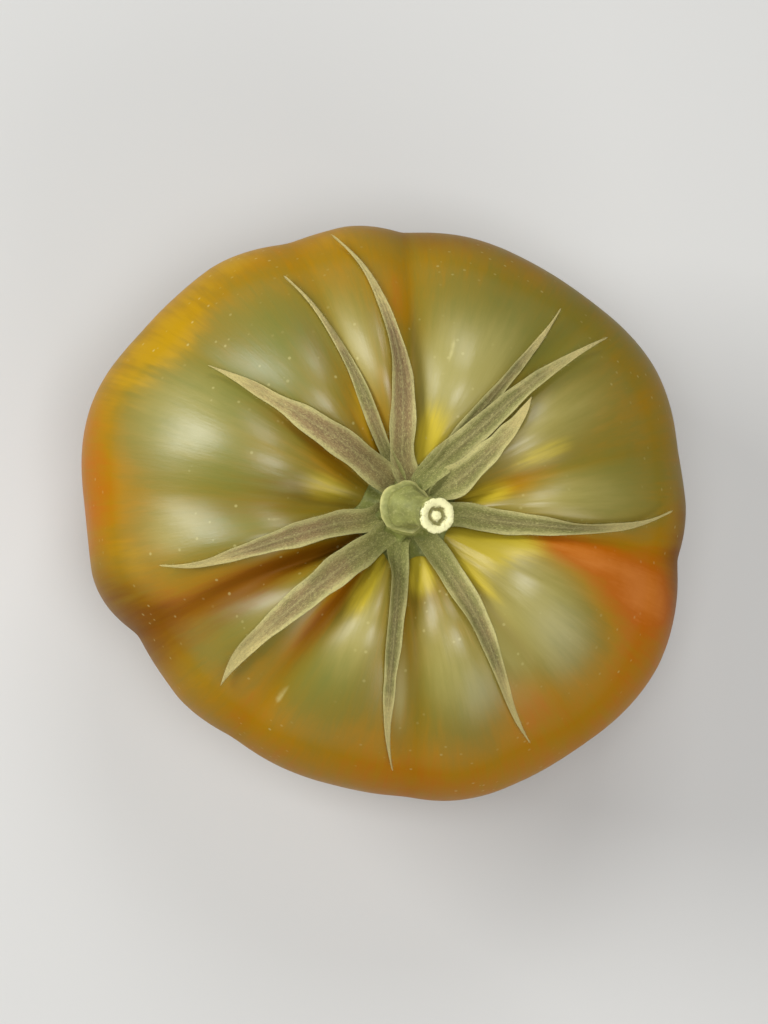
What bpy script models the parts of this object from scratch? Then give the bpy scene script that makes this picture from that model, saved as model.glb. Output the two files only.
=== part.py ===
"""Ribbed salad tomato resting on its blossom end, with its calyx and a cut stem.

The fruit is one lobed solid. A formula gives its skin: a meridian with a hollow
at the stem end, stretched to the reach of each lobe and creased between lobes.
The sepals follow that skin and are fused with their hub, and the stem stub
stands on the hub. Everything is drawn about the fruit's own axis, which runs
through the hub. An empty then carries the axis to its place beside the origin,
which lies under the middle of the outline, on the surface that the fruit rests on.
"""

from collections import namedtuple
from math import acos, cos, degrees, exp, pi, radians, sin

import bmesh
import bpy
from mathutils import Vector

MM = 0.001
QUARTER = 0.5 * pi

# The meridian: heights and depths in metres, the rest as shares of a lobe's reach
EQUATOR_HEIGHT = 23.5 * MM
SHOULDER_RISE = 28.4 * MM
BASE_DROP = 24.1 * MM
SHOULDER_FULLNESS = 2.2
BASE_FULLNESS = 2.3
CAVITY_DEPTH = 10.0 * MM
CAVITY_WIDTH = 0.30

# The creases between the lobes. The spans are shares of the reach over which a
# crease fades above and below the equator, and over which the rim dips grow
GROOVE_DEPTH = 3.0 * MM
GROOVE_SHARPNESS = 2.2
GROOVE_START = 0.14
EQUATOR_GROOVE = 0.16
SHOULDER_FADE = (0.40, 1.00)
BASE_FADE = (0.36, 0.80)
UPPER_DIP = (0.50, 1.00)
LOWER_DIP = (0.40, 0.95)
SLOPE_STEP = 0.01

# Each lobe: the azimuth of the groove before it, that groove's strength and its
# dip at the rim, and the lobe's reach from the axis
Lobe = namedtuple("Lobe", "groove strength rim_dip reach")
LOBES = (
    Lobe(15.0, 0.5, 0.1 * MM, 38.9 * MM),
    Lobe(47.0, 0.6, 0.0 * MM, 36.8 * MM),
    Lobe(88.0, 0.8, 1.2 * MM, 37.6 * MM),
    Lobe(111.0, 0.6, 0.4 * MM, 38.7 * MM),
    Lobe(143.0, 0.6, 0.0 * MM, 40.0 * MM),
    Lobe(175.0, 0.5, 0.0 * MM, 37.3 * MM),
    Lobe(205.0, 1.0, 1.7 * MM, 34.3 * MM),
    Lobe(234.0, 0.8, 0.4 * MM, 33.7 * MM),
    Lobe(273.0, 0.7, 0.3 * MM, 36.2 * MM),
    Lobe(310.0, 0.6, 0.0 * MM, 37.9 * MM),
    Lobe(352.0, 0.8, 0.7 * MM, 36.9 * MM),
)
LOBE_COLUMNS = 7
UPPER_ROWS = 18
LOWER_ROWS = 11

# Each sepal: its azimuth at the hub, half-way and at the tip, its length from
# the axis, its half width, how far out it stays wide, and its height on the skin
Sepal = namedtuple("Sepal", "root middle tip length half_width fullness raised")
SEPALS = (
    Sepal(91.0, 92.0, 102.0, 34.5 * MM, 1.4 * MM, 1.8, 0.0 * MM),
    Sepal(104.0, 111.0, 115.5, 31.5 * MM, 1.0 * MM, 2.0, 0.0 * MM),
    Sepal(120.0, 136.5, 142.0, 28.8 * MM, 1.8 * MM, 2.6, 0.2 * MM),
    Sepal(186.0, 192.5, 194.5, 29.0 * MM, 1.6 * MM, 3.0, 0.1 * MM),
    Sepal(223.0, 219.5, 222.5, 29.0 * MM, 1.9 * MM, 5.0, 0.1 * MM),
    Sepal(259.0, 262.5, 266.5, 30.3 * MM, 1.5 * MM, 2.2, 0.0 * MM),
    Sepal(309.0, 302.0, 299.5, 30.8 * MM, 1.7 * MM, 2.6, 0.1 * MM),
    Sepal(357.0, 355.0, 359.5, 32.0 * MM, 1.6 * MM, 2.2, 0.1 * MM),
    Sepal(25.0, 34.0, 41.0, 20.0 * MM, 1.9 * MM, 3.5, 0.3 * MM),
    Sepal(62.0, 47.5, 41.5, 31.5 * MM, 1.6 * MM, 3.0, 0.9 * MM),
    Sepal(62.0, 54.5, 50.5, 31.0 * MM, 1.3 * MM, 2.4, 0.0 * MM),
)
SEPAL_STATIONS = 9
SEPAL_ROOT = 2.6 * MM
SEPAL_TIP_HALF_WIDTH = 0.35 * MM
SEPAL_THICKNESS = 0.8 * MM
SEPAL_BELLY = 1.6
SEPAL_GROOVE_SHARE = 0.45
SKIN_CLEARANCE = 0.5 * MM

# The sepals stand higher at the hub and at the tip, over these shares of the length
SEPAL_ROOT_LIFT = 0.9 * MM
SEPAL_TIP_LIFT = 0.9 * MM
ROOT_SPAN = (0.0, 0.25)
RAISED_SPAN = (0.1, 0.3)
TIP_SPAN = (0.7, 1.0)

SLIVER_LENGTH = 0.02 * MM
SHARP_ANGLE = 45.0

# The hub: the distance from the axis and height above the skin of each ring of
# its underside and edge, then the distance and depth below its flat top
HUB_HEIGHT = 3.6 * MM
HUB_SIDES = 22
HUB_UNDERSIDE = ((2.8 * MM, 0.0), (5.3 * MM, 0.0), (5.7 * MM, 0.7 * MM))
HUB_UPPER = ((4.7 * MM, 0.35 * MM), (3.5 * MM, 0.0))

STEM_GAP = 0.3 * MM
STEM_SIDES = 14
STEM_AZIMUTH = -10.0
PITH_RADIUS = 1.0 * MM
PITH_DEPTH = 0.9 * MM

# The stem's rings: height above its foot, lean towards its azimuth, radius and
# tilt in degrees. The widest ring is the knuckle, and the last one is the cut
Ring = namedtuple("Ring", "height lean radius tilt")
STEM_RINGS = (
    Ring(0.0 * MM, 0.0 * MM, 2.9 * MM, 0.0),
    Ring(1.2 * MM, -0.1 * MM, 2.3 * MM, -3.0),
    Ring(2.6 * MM, -0.3 * MM, 2.2 * MM, -5.0),
    Ring(3.9 * MM, -0.5 * MM, 2.8 * MM, 0.0),
    Ring(5.0 * MM, -0.5 * MM, 3.1 * MM, 8.0),
    Ring(6.2 * MM, 0.1 * MM, 2.8 * MM, 22.0),
    Ring(7.2 * MM, 1.0 * MM, 2.3 * MM, 34.0),
    Ring(8.3 * MM, 2.1 * MM, 2.15 * MM, 30.0),
    Ring(9.4 * MM, 3.3 * MM, 2.4 * MM, 16.0),
)


def clear_scene():
    """Remove whatever the open file holds."""
    for item in list(bpy.data.objects):
        bpy.data.objects.remove(item, do_unlink=True)


def smooth_step(low, high, value):
    share = min(max((value - low) / (high - low), 0.0), 1.0)
    return share * share * (3.0 - 2.0 * share)


def lobe_width(index):
    """The angle between a lobe's two grooves, in degrees."""
    following = LOBES[(index + 1) % len(LOBES)]
    return (following.groove - LOBES[index].groove) % 360.0


def lobe_at(azimuth):
    """The lobe under an azimuth, and the place across it from -1 to 1."""
    for index, lobe in enumerate(LOBES):
        along = (azimuth - lobe.groove) % 360.0
        if along <= lobe_width(index):
            return index, 2.0 * along / lobe_width(index) - 1.0
    raise ValueError("the grooves do not close the circle")


def reach_at(azimuth):
    """The distance from the axis to the rim, before the grooves dip into it."""
    index, across = lobe_at(azimuth)
    near = LOBES[index]
    step = 1 if across > 0.0 else -1
    other_index = (index + step) % len(LOBES)
    half_here = 0.5 * lobe_width(index)
    span = half_here + 0.5 * lobe_width(other_index)
    share = smooth_step(0.0, 1.0, abs(across) * half_here / span)
    return near.reach + (LOBES[other_index].reach - near.reach) * share


def meridian(latitude):
    """The share of the reach and the height at a latitude, before any groove."""
    if latitude > 0.0:
        power = 2.0 / SHOULDER_FULLNESS
        share = max(cos(latitude), 0.0) ** power
        hollow = CAVITY_DEPTH * exp(-((share / CAVITY_WIDTH) ** 2))
        return share, EQUATOR_HEIGHT + SHOULDER_RISE * sin(latitude) ** power - hollow
    power = 2.0 / BASE_FULLNESS
    share = max(cos(latitude), 0.0) ** power
    return share, max(EQUATOR_HEIGHT - BASE_DROP * (-sin(latitude)) ** power, 0.0)


def groove_weights(latitude, share):
    """How much of the groove depth and of the rim dip acts at a latitude."""
    if latitude > 0.0:
        near_stem = 1.0 - exp(-((share / GROOVE_START) ** 2))
        fade = 1.0 - (1.0 - EQUATOR_GROOVE) * smooth_step(*SHOULDER_FADE, share)
        return near_stem * fade, smooth_step(*UPPER_DIP, share)
    return EQUATOR_GROOVE * smooth_step(*BASE_FADE, share), smooth_step(*LOWER_DIP, share)


def skin(azimuth, latitude, groove_share=1.0, lift=0.0):
    """A point on the fruit, at an azimuth in degrees and a latitude in radians."""
    index, across = lobe_at(azimuth)
    here = LOBES[index]
    following = LOBES[(index + 1) % len(LOBES)]
    blend = 0.5 * (across + 1.0)
    strength = here.strength + (following.strength - here.strength) * blend
    dip = here.rim_dip + (following.rim_dip - here.rim_dip) * blend
    reach = reach_at(azimuth)
    share, height = meridian(latitude)
    depth_weight, dip_weight = groove_weights(latitude, share)
    depth = GROOVE_DEPTH * strength * depth_weight + dip * dip_weight
    sunk = groove_share * depth * abs(across) ** GROOVE_SHARPNESS
    above = meridian(min(latitude + SLOPE_STEP, QUARTER))
    below = meridian(max(latitude - SLOPE_STEP, -QUARTER))
    run = Vector((reach * (below[0] - above[0]), below[1] - above[1]))
    outward = Vector((-run.y, run.x)).normalized()
    distance = reach * share + outward.x * (lift - sunk)
    angle = radians(azimuth)
    return Vector((distance * cos(angle), distance * sin(angle), height + outward.y * (lift - sunk)))


def skin_at_distance(azimuth, distance, groove_share, lift):
    """A point above the shoulder, found by its distance from the axis."""
    share = min(distance / reach_at(azimuth), 1.0)
    latitude = acos(share ** (0.5 * SHOULDER_FULLNESS))
    return skin(azimuth, latitude, groove_share, lift)


def column_azimuths():
    """The azimuths of the fruit's columns, with one in every groove."""
    return [
        lobe.groove + lobe_width(index) * column / LOBE_COLUMNS
        for index, lobe in enumerate(LOBES)
        for column in range(LOBE_COLUMNS)
    ]


def make_axis():
    """The empty that centres the fruit's outline on the origin and carries the pieces."""
    rim = [skin(azimuth, 0.0) for azimuth in column_azimuths()]
    middle_x = 0.5 * (min(p.x for p in rim) + max(p.x for p in rim))
    middle_y = 0.5 * (min(p.y for p in rim) + max(p.y for p in rim))
    axis = bpy.data.objects.new("fruit_axis", None)
    axis.location = (-middle_x, -middle_y, 0.0)
    bpy.context.scene.collection.objects.link(axis)
    return axis


def link_mesh(name, points, faces, material):
    """Make a smooth-shaded object whose faces look outward."""
    mesh = bpy.data.meshes.new(name)
    mesh.from_pydata(points, [], faces)
    edit = bmesh.new()
    edit.from_mesh(mesh)
    bmesh.ops.recalc_face_normals(edit, faces=edit.faces)
    edit.to_mesh(mesh)
    edit.free()
    mesh.shade_smooth()
    mesh.set_sharp_from_angle(angle=radians(SHARP_ANGLE))
    mesh.materials.append(material)
    item = bpy.data.objects.new(name, mesh)
    bpy.context.scene.collection.objects.link(item)
    return item


def ring_faces(ring_count, sides):
    """Quads between rings that follow one another, with a point at both ends.

    The first point and the last one are the poles, and the rings lie between.
    """
    last = 1 + ring_count * sides
    faces = []
    for side in range(sides):
        after = (side + 1) % sides
        faces.append((0, 1 + side, 1 + after))
        for ring in range(ring_count - 1):
            start = 1 + ring * sides
            faces.append((start + side, start + sides + side, start + sides + after, start + after))
        start = 1 + (ring_count - 1) * sides
        faces.append((start + side, last, start + after))
    return faces


def make_material(name, color, roughness):
    material = bpy.data.materials.new(name)
    material.use_nodes = True
    shader = material.node_tree.nodes["Principled BSDF"]
    shader.inputs["Base Color"].default_value = (*color, 1.0)
    shader.inputs["Roughness"].default_value = roughness
    shader.inputs["Metallic"].default_value = 0.0
    return material


def make_fruit():
    """The lobed body, from the floor of its stem cavity to its resting spot."""
    azimuths = column_azimuths()
    latitudes = [QUARTER * (1.0 - row / UPPER_ROWS) for row in range(1, UPPER_ROWS + 1)]
    latitudes += [-QUARTER * row / LOWER_ROWS for row in range(1, LOWER_ROWS)]
    points = [skin(azimuths[0], QUARTER)]
    points += [skin(azimuth, latitude) for latitude in latitudes for azimuth in azimuths]
    points.append(skin(azimuths[0], -QUARTER))
    faces = ring_faces(len(latitudes), len(azimuths))
    return link_mesh("fruit", points, faces, make_material("skin", (0.26, 0.22, 0.035), 0.38))


def hub_top():
    return skin(0.0, QUARTER).z + HUB_HEIGHT


def make_hub(material):
    """The disc that the sepals grow from, filling the bottom of the cavity."""
    azimuths = [360.0 * side / HUB_SIDES for side in range(HUB_SIDES)]
    points = [skin(0.0, QUARTER, 0.0, SKIN_CLEARANCE)]
    for distance, height in HUB_UNDERSIDE:
        lift = SKIN_CLEARANCE + height
        points += [skin_at_distance(azimuth, distance, 0.0, lift) for azimuth in azimuths]
    for distance, depth in HUB_UPPER:
        for azimuth in azimuths:
            angle = radians(azimuth)
            points.append(Vector((distance * cos(angle), distance * sin(angle), hub_top() - depth)))
    points.append(Vector((0.0, 0.0, hub_top())))
    faces = ring_faces(len(HUB_UNDERSIDE) + len(HUB_UPPER), HUB_SIDES)
    return link_mesh("calyx", points, faces, material)


def sepal_azimuth(sepal, along):
    """The azimuth on a curve through the sepal's three azimuths."""
    first = (1.0 - along) * (1.0 - 2.0 * along) * sepal.root
    second = 4.0 * along * (1.0 - along) * sepal.middle
    third = along * (2.0 * along - 1.0) * sepal.tip
    return first + second + third


def sepal_half_width(sepal, along):
    """Narrow at the hub, widest at a third of the length, thread-like at the tip."""
    belly = 0.75 + 0.25 * sin(pi * min(SEPAL_BELLY * along, 1.0))
    return max(sepal.half_width * belly * (1.0 - along ** sepal.fullness), SEPAL_TIP_HALF_WIDTH)


def sepal_section(sepal, along):
    """Six points round the blade: three above, from left to right, three below."""
    distance = SEPAL_ROOT + (sepal.length - SEPAL_ROOT) * along
    azimuth = sepal_azimuth(sepal, along)
    half_width = sepal_half_width(sepal, along)
    lift = SKIN_CLEARANCE + sepal.raised * smooth_step(*RAISED_SPAN, along)
    lift += SEPAL_ROOT_LIFT * (1.0 - smooth_step(*ROOT_SPAN, along))
    lift += SEPAL_TIP_LIFT * smooth_step(*TIP_SPAN, along)
    turn = degrees(half_width / distance)
    places = [azimuth + turn, azimuth, azimuth - turn]
    above = [
        skin_at_distance(place, distance, SEPAL_GROOVE_SHARE, lift + SEPAL_THICKNESS)
        for place in places
    ]
    below = [skin_at_distance(place, distance, SEPAL_GROOVE_SHARE, lift) for place in places]
    return above + below


def blade_faces(stations):
    """Triangles round a blade of six-point sections, alike above and below."""
    faces = []
    for station in range(stations - 1):
        near = 6 * station
        far = near + 6
        for column in (0, 1):
            a, b = near + column, near + column + 1
            c, d = far + column, far + column + 1
            faces += [(a, b, d), (a, d, c)]
            faces += [(a + 3, d + 3, b + 3), (a + 3, c + 3, d + 3)]
        for top, bottom in ((0, 3), (2, 5)):
            faces += [(near + top, far + top, far + bottom), (near + top, far + bottom, near + bottom)]
    for start in (0, 6 * (stations - 1)):
        for column in (0, 1):
            a, b = start + column, start + column + 1
            faces += [(a, b, b + 3), (a, b + 3, a + 3)]
    return faces


def make_sepal(index, sepal, material):
    stations = [step / (SEPAL_STATIONS - 1) for step in range(SEPAL_STATIONS)]
    points = [point for along in stations for point in sepal_section(sepal, along)]
    return link_mesh(f"sepal_{index}", points, blade_faces(SEPAL_STATIONS), material)


def drop_slivers(mesh):
    """Close up the tiny edges that a union leaves where surfaces graze."""
    edit = bmesh.new()
    edit.from_mesh(mesh)
    bmesh.ops.dissolve_degenerate(edit, edges=edit.edges, dist=SLIVER_LENGTH)
    bmesh.ops.triangulate(edit, faces=edit.faces)
    edit.to_mesh(mesh)
    edit.free()


def make_calyx():
    """The hub and its sepals, joined into one solid."""
    material = make_material("sepal_green", (0.23, 0.24, 0.11), 0.75)
    hub = make_hub(material)
    blades = bpy.data.collections.new("sepals")
    for index, sepal in enumerate(SEPALS):
        blade = make_sepal(index, sepal, material)
        bpy.context.scene.collection.objects.unlink(blade)
        blades.objects.link(blade)
    bpy.context.scene.collection.children.link(blades)
    union = hub.modifiers.new("sepals", "BOOLEAN")
    union.operation = "UNION"
    union.operand_type = "COLLECTION"
    union.collection = blades
    union.solver = "EXACT"
    view = bpy.context.evaluated_depsgraph_get()
    joined = bpy.data.meshes.new_from_object(hub.evaluated_get(view))
    hub.modifiers.clear()
    hub.data = joined
    for blade in list(blades.objects):
        bpy.data.objects.remove(blade, do_unlink=True)
    bpy.data.collections.remove(blades)
    drop_slivers(joined)
    joined.shade_smooth()
    joined.set_sharp_from_angle(angle=radians(SHARP_ANGLE))
    return hub


def stem_ring(ring, radius, drop=0.0):
    """The points of a ring of the stem, or its one middle point for a radius of 0."""
    azimuth = radians(STEM_AZIMUTH)
    lean = Vector((cos(azimuth), sin(azimuth), 0.0))
    tilt = radians(ring.tilt)
    upward = Vector((0.0, 0.0, cos(tilt))) + lean * sin(tilt)
    side = upward.cross(lean).normalized()
    front = side.cross(upward)
    height = hub_top() + STEM_GAP + ring.height
    centre = lean * ring.lean + Vector((0.0, 0.0, height)) - upward * drop
    if radius == 0.0:
        return [centre]
    angles = [2.0 * pi * step / STEM_SIDES for step in range(STEM_SIDES)]
    return [centre + radius * (front * cos(angle) + side * sin(angle)) for angle in angles]


def make_pedicel():
    """The stub of stem with its knuckle and a cut end that shows the pith."""
    points = stem_ring(STEM_RINGS[0], 0.0)
    for ring in STEM_RINGS:
        points += stem_ring(ring, ring.radius)
    cut = STEM_RINGS[-1]
    points += stem_ring(cut, PITH_RADIUS)
    points += stem_ring(cut, 0.8 * PITH_RADIUS, PITH_DEPTH)
    points += stem_ring(cut, 0.0, PITH_DEPTH)
    faces = ring_faces(len(STEM_RINGS) + 2, STEM_SIDES)
    return link_mesh("pedicel", points, faces, make_material("stem_green", (0.25, 0.26, 0.10), 0.7))


def main():
    clear_scene()
    axis = make_axis()
    for piece in (make_fruit(), make_calyx(), make_pedicel()):
        piece.parent = axis


main()
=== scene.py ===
"""The finished look of a ribbed salad tomato with its calyx and cut stem.

The frame gives the solids. Each operator below makes one piece or group of like
pieces over them, and the last one sets the stage.
"""

from collections import namedtuple
from math import cos, degrees, exp, pi, radians, sin

import bpy
import numpy as np
from bpy.props import FloatProperty, FloatVectorProperty, IntProperty, PointerProperty
from mathutils import Matrix, Vector, noise
from mathutils.bvhtree import BVHTree


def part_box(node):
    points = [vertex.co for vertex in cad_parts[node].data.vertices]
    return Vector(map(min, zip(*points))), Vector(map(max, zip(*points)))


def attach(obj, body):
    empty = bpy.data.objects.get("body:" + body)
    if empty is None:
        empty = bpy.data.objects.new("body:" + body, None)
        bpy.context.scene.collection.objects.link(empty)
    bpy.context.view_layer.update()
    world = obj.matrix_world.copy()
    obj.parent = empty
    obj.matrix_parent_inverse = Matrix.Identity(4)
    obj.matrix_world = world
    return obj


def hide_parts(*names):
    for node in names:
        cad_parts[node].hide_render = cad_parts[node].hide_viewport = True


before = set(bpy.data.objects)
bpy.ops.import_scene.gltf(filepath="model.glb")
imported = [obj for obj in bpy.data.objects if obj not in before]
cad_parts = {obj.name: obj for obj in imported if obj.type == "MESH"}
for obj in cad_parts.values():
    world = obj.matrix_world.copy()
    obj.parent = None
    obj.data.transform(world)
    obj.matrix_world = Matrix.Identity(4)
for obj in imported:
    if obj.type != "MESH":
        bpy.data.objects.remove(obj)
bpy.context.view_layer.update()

bl_info = {
    "name": "Ribbed Tomato",
    "version": (1, 0, 0),
    "blender": (4, 5, 0),
    "location": "View3D > Sidebar > Tomato",
    "description": "Builds the skin, calyx, stem and stage of a ribbed tomato over its solids",
    "category": "Add Mesh",
}

MM = 0.001
BODY = "root"
# Where the fruit's own axis stands, so that its outline is centred on the origin
AXIS = Vector((0.868 * MM, -1.132 * MM, 0.0))

# Each lobe: the azimuth of the groove before it, that groove's strength and its
# dip at the rim, and the lobe's reach from the axis
Lobe = namedtuple("Lobe", "groove strength rim_dip reach")
LOBES = (
    Lobe(15.0, 0.5, 0.1 * MM, 38.2 * MM),
    Lobe(47.0, 0.6, 0.0 * MM, 36.8 * MM),
    Lobe(88.0, 0.8, 0.7 * MM, 37.1 * MM),
    Lobe(111.0, 0.6, 0.4 * MM, 38.7 * MM),
    Lobe(143.0, 0.6, 0.0 * MM, 40.0 * MM),
    Lobe(175.0, 0.5, 0.0 * MM, 37.8 * MM),
    Lobe(205.0, 1.0, 1.0 * MM, 34.4 * MM),
    Lobe(234.0, 0.8, 0.4 * MM, 33.7 * MM),
    Lobe(273.0, 0.7, 0.3 * MM, 36.2 * MM),
    Lobe(310.0, 0.6, 0.0 * MM, 37.9 * MM),
    Lobe(352.0, 0.8, 0.7 * MM, 36.9 * MM),
)
# How round the floor of a groove is, and how narrow its line of painted shade and its
# dip at the rim are
GROOVE_ROUNDING = 0.11
GROOVE_LINE = 3.0
DIP_SHARPNESS = 1.6
# The width of the dent at the blossom end as a share of the reach, how closely the
# broad dents and the fine ribs stand, and how far the grain changes with the level
DIMPLE_WIDTH = 0.10
DENT_CLOSENESS = 62.0
FINE_RIB_CLOSENESS = 17.0
GRAIN_CHANGE = 0.22

# Each sepal: its azimuth at the hub, half-way and at the tip, its length from the
# axis, its half width, how far out it stays wide, its height on the skin, the
# sideways and upward curl of its tip, and how brown it has dried
Sepal = namedtuple("Sepal", "root middle tip length half_width fullness raised hook curl dryness")
SEPALS = (
    Sepal(92.0, 94.5, 102.0, 34.5 * MM, 1.75 * MM, 1.8, 0.0 * MM, 1.0 * MM, 0.8 * MM, 0.85),
    Sepal(104.0, 111.0, 115.5, 31.5 * MM, 0.95 * MM, 2.6, 0.0 * MM, 1.0 * MM, 0.5 * MM, 0.45),
    Sepal(120.0, 136.5, 142.0, 28.8 * MM, 1.8 * MM, 3.2, 0.2 * MM, 0.8 * MM, 0.9 * MM, 0.85),
    Sepal(186.0, 192.5, 194.5, 29.0 * MM, 1.6 * MM, 3.0, 0.1 * MM, -1.6 * MM, 1.2 * MM, 0.60),
    Sepal(222.0, 219.5, 221.5, 29.6 * MM, 1.8 * MM, 5.5, 0.1 * MM, 0.9 * MM, 0.5 * MM, 0.50),
    Sepal(259.0, 262.5, 266.5, 30.3 * MM, 1.5 * MM, 2.2, 0.0 * MM, 0.9 * MM, 0.6 * MM, 0.25),
    Sepal(308.0, 301.0, 297.5, 30.8 * MM, 1.6 * MM, 2.6, 0.1 * MM, 0.9 * MM, 0.7 * MM, 0.35),
    Sepal(357.0, 355.0, 359.5, 32.0 * MM, 1.6 * MM, 2.2, 0.1 * MM, 1.1 * MM, 0.9 * MM, 0.10),
    Sepal(25.0, 34.0, 41.0, 20.0 * MM, 1.9 * MM, 3.5, 0.3 * MM, 0.3 * MM, 0.4 * MM, 0.15),
    Sepal(62.0, 47.5, 41.5, 31.5 * MM, 1.6 * MM, 3.0, 0.9 * MM, -0.7 * MM, 0.7 * MM, 0.10),
    Sepal(62.0, 54.5, 52.0, 31.0 * MM, 1.3 * MM, 2.4, 0.0 * MM, 0.3 * MM, 0.6 * MM, 0.20),
)
# How far from the axis a sepal starts, its gap over the skin, how far its root
# stands up, and the half width of its thread-like tip
SEPAL_ROOT = 2.4 * MM
SEPAL_CLEARANCE = 0.30 * MM
SEPAL_ROOT_LIFT = 1.1 * MM
SEPAL_THREAD = 0.17 * MM
# Where along a sepal its tip starts to curl, how uneven its width and its folds
# are, its least fold, and how many rounds smooth its path and its directions
SEPAL_CURL_START = 0.78
WIDTH_CHANGE = 0.20
FOLD_CHANGE = 0.62
LEAST_FOLD = 0.1
PATH_SMOOTHING = 40
DIRECTION_SMOOTHING = 60
# The midrib's width as a share of the half width, how closely the veins stand, and
# the step from one sepal's seed to the next
MIDRIB_WIDTH = 0.16
VEIN_CLOSENESS = 19.0
SEED_STEP = 3.7

# The hub's fineness, its gap over the skin, its reach between two sepals, and how
# much further and over how many degrees it reaches along each sepal
HUB_SIDES = 180
HUB_RINGS = 16
HUB_CLEARANCE = 0.12 * MM
HUB_REACH = 5.4 * MM
HUB_WEB = 1.6 * MM
HUB_WEB_SPREAD = 12.0
# How much of the hub's height its dome has, and how much its outer part keeps
HUB_DOME = 0.80
HUB_DRAPE = 0.55
# How rough the hub is, how thin it gets, and how far its rim reaches down
HUB_GRAIN = 0.18 * MM
HUB_LEAST_THICKNESS = 0.05 * MM
HUB_SKIRT = 0.02 * MM
# The fillet round the stem's foot, and the ribs that run out to the sepals
FILLET_HEIGHT = 0.9 * MM
FILLET_START = 2.4 * MM
FILLET_WIDTH = 0.55 * MM
RIB_HEIGHT = 0.55 * MM
RIB_WIDTH = 0.75 * MM
RIB_LIMIT = 1.2

# The stem's rings: height above its foot, lean towards its azimuth, radius and
# tilt in degrees. The widest ring is the knuckle, and the last one is the cut
Ring = namedtuple("Ring", "height lean radius tilt")
STEM_RINGS = (
    Ring(0.0 * MM, 0.0 * MM, 2.9 * MM, 0.0),
    Ring(1.2 * MM, -0.2 * MM, 2.2 * MM, -3.0),
    Ring(2.6 * MM, -0.5 * MM, 2.1 * MM, -5.0),
    Ring(3.9 * MM, -0.8 * MM, 2.5 * MM, 0.0),
    Ring(5.0 * MM, -0.8 * MM, 2.8 * MM, 8.0),
    Ring(6.2 * MM, -0.3 * MM, 2.5 * MM, 22.0),
    Ring(7.2 * MM, 0.55 * MM, 1.9 * MM, 34.0),
    Ring(8.3 * MM, 1.65 * MM, 1.8 * MM, 30.0),
    Ring(9.4 * MM, 2.85 * MM, 2.15 * MM, 16.0),
)
STEM_STATIONS = 110
STEM_SECTION = 48
# How far the foot reaches down into the hub, and how far the cut end is let in
FOOT_DEPTH = 0.8 * MM
CUT_DEPTH = 0.6 * MM
# The raised collar on the knuckle and the crease beyond it: the place along the
# stem and the half width, both as shares of its length, and the change of radius
Band = namedtuple("Band", "place width change")
COLLAR = Band(0.50, 0.024, 0.09)
CREASE = Band(0.562, 0.020, -0.14)
# The half width of the pale band on the collar, partly a painted highlight, how uneven
# the stem's thickness is, how far its ridges turn, how rough its skin is and how closely that stands
PALE_BAND = 0.026
STEM_UNEVENNESS = 0.025
STEM_TWIST = 1.7
STEM_ROUGHNESS = 0.60 * MM
STEM_ROUGHNESS_CLOSENESS = 650.0

# What is turned about the stem or the fruit: a profile of radii and heights in
# millimetres, the number of sides, how uneven it is, and a seed
Turned = namedtuple("Turned", "name profile sides unevenness seed")
CUT_END = Turned("cut_end", (
    (2.08, -0.70), (2.14, -0.30), (2.16, -0.02), (2.05, 0.10), (1.75, 0.14), (1.40, 0.10),
    (1.18, 0.00), (1.06, -0.22), (0.92, -0.30), (0.72, -0.28), (0.58, -0.10), (0.44, 0.02),
    (0.24, 0.05),
), 60, 0.05, 4.0)
BLOSSOM_SCAR = Turned("blossom_scar", (
    (3.9, -0.60), (3.8, -0.20), (3.4, 0.02), (2.9, 0.10), (2.3, 0.02), (1.8, 0.06), (1.3, -0.04),
    (0.9, 0.02), (0.5, -0.12), (0.3, -0.02),
), 96, 0.26, 9.0)
SCAR_HEIGHT = 0.45 * MM
# Where a turned piece stands and which way it faces
Disc = namedtuple("Disc", "centre front side upward")

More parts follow.
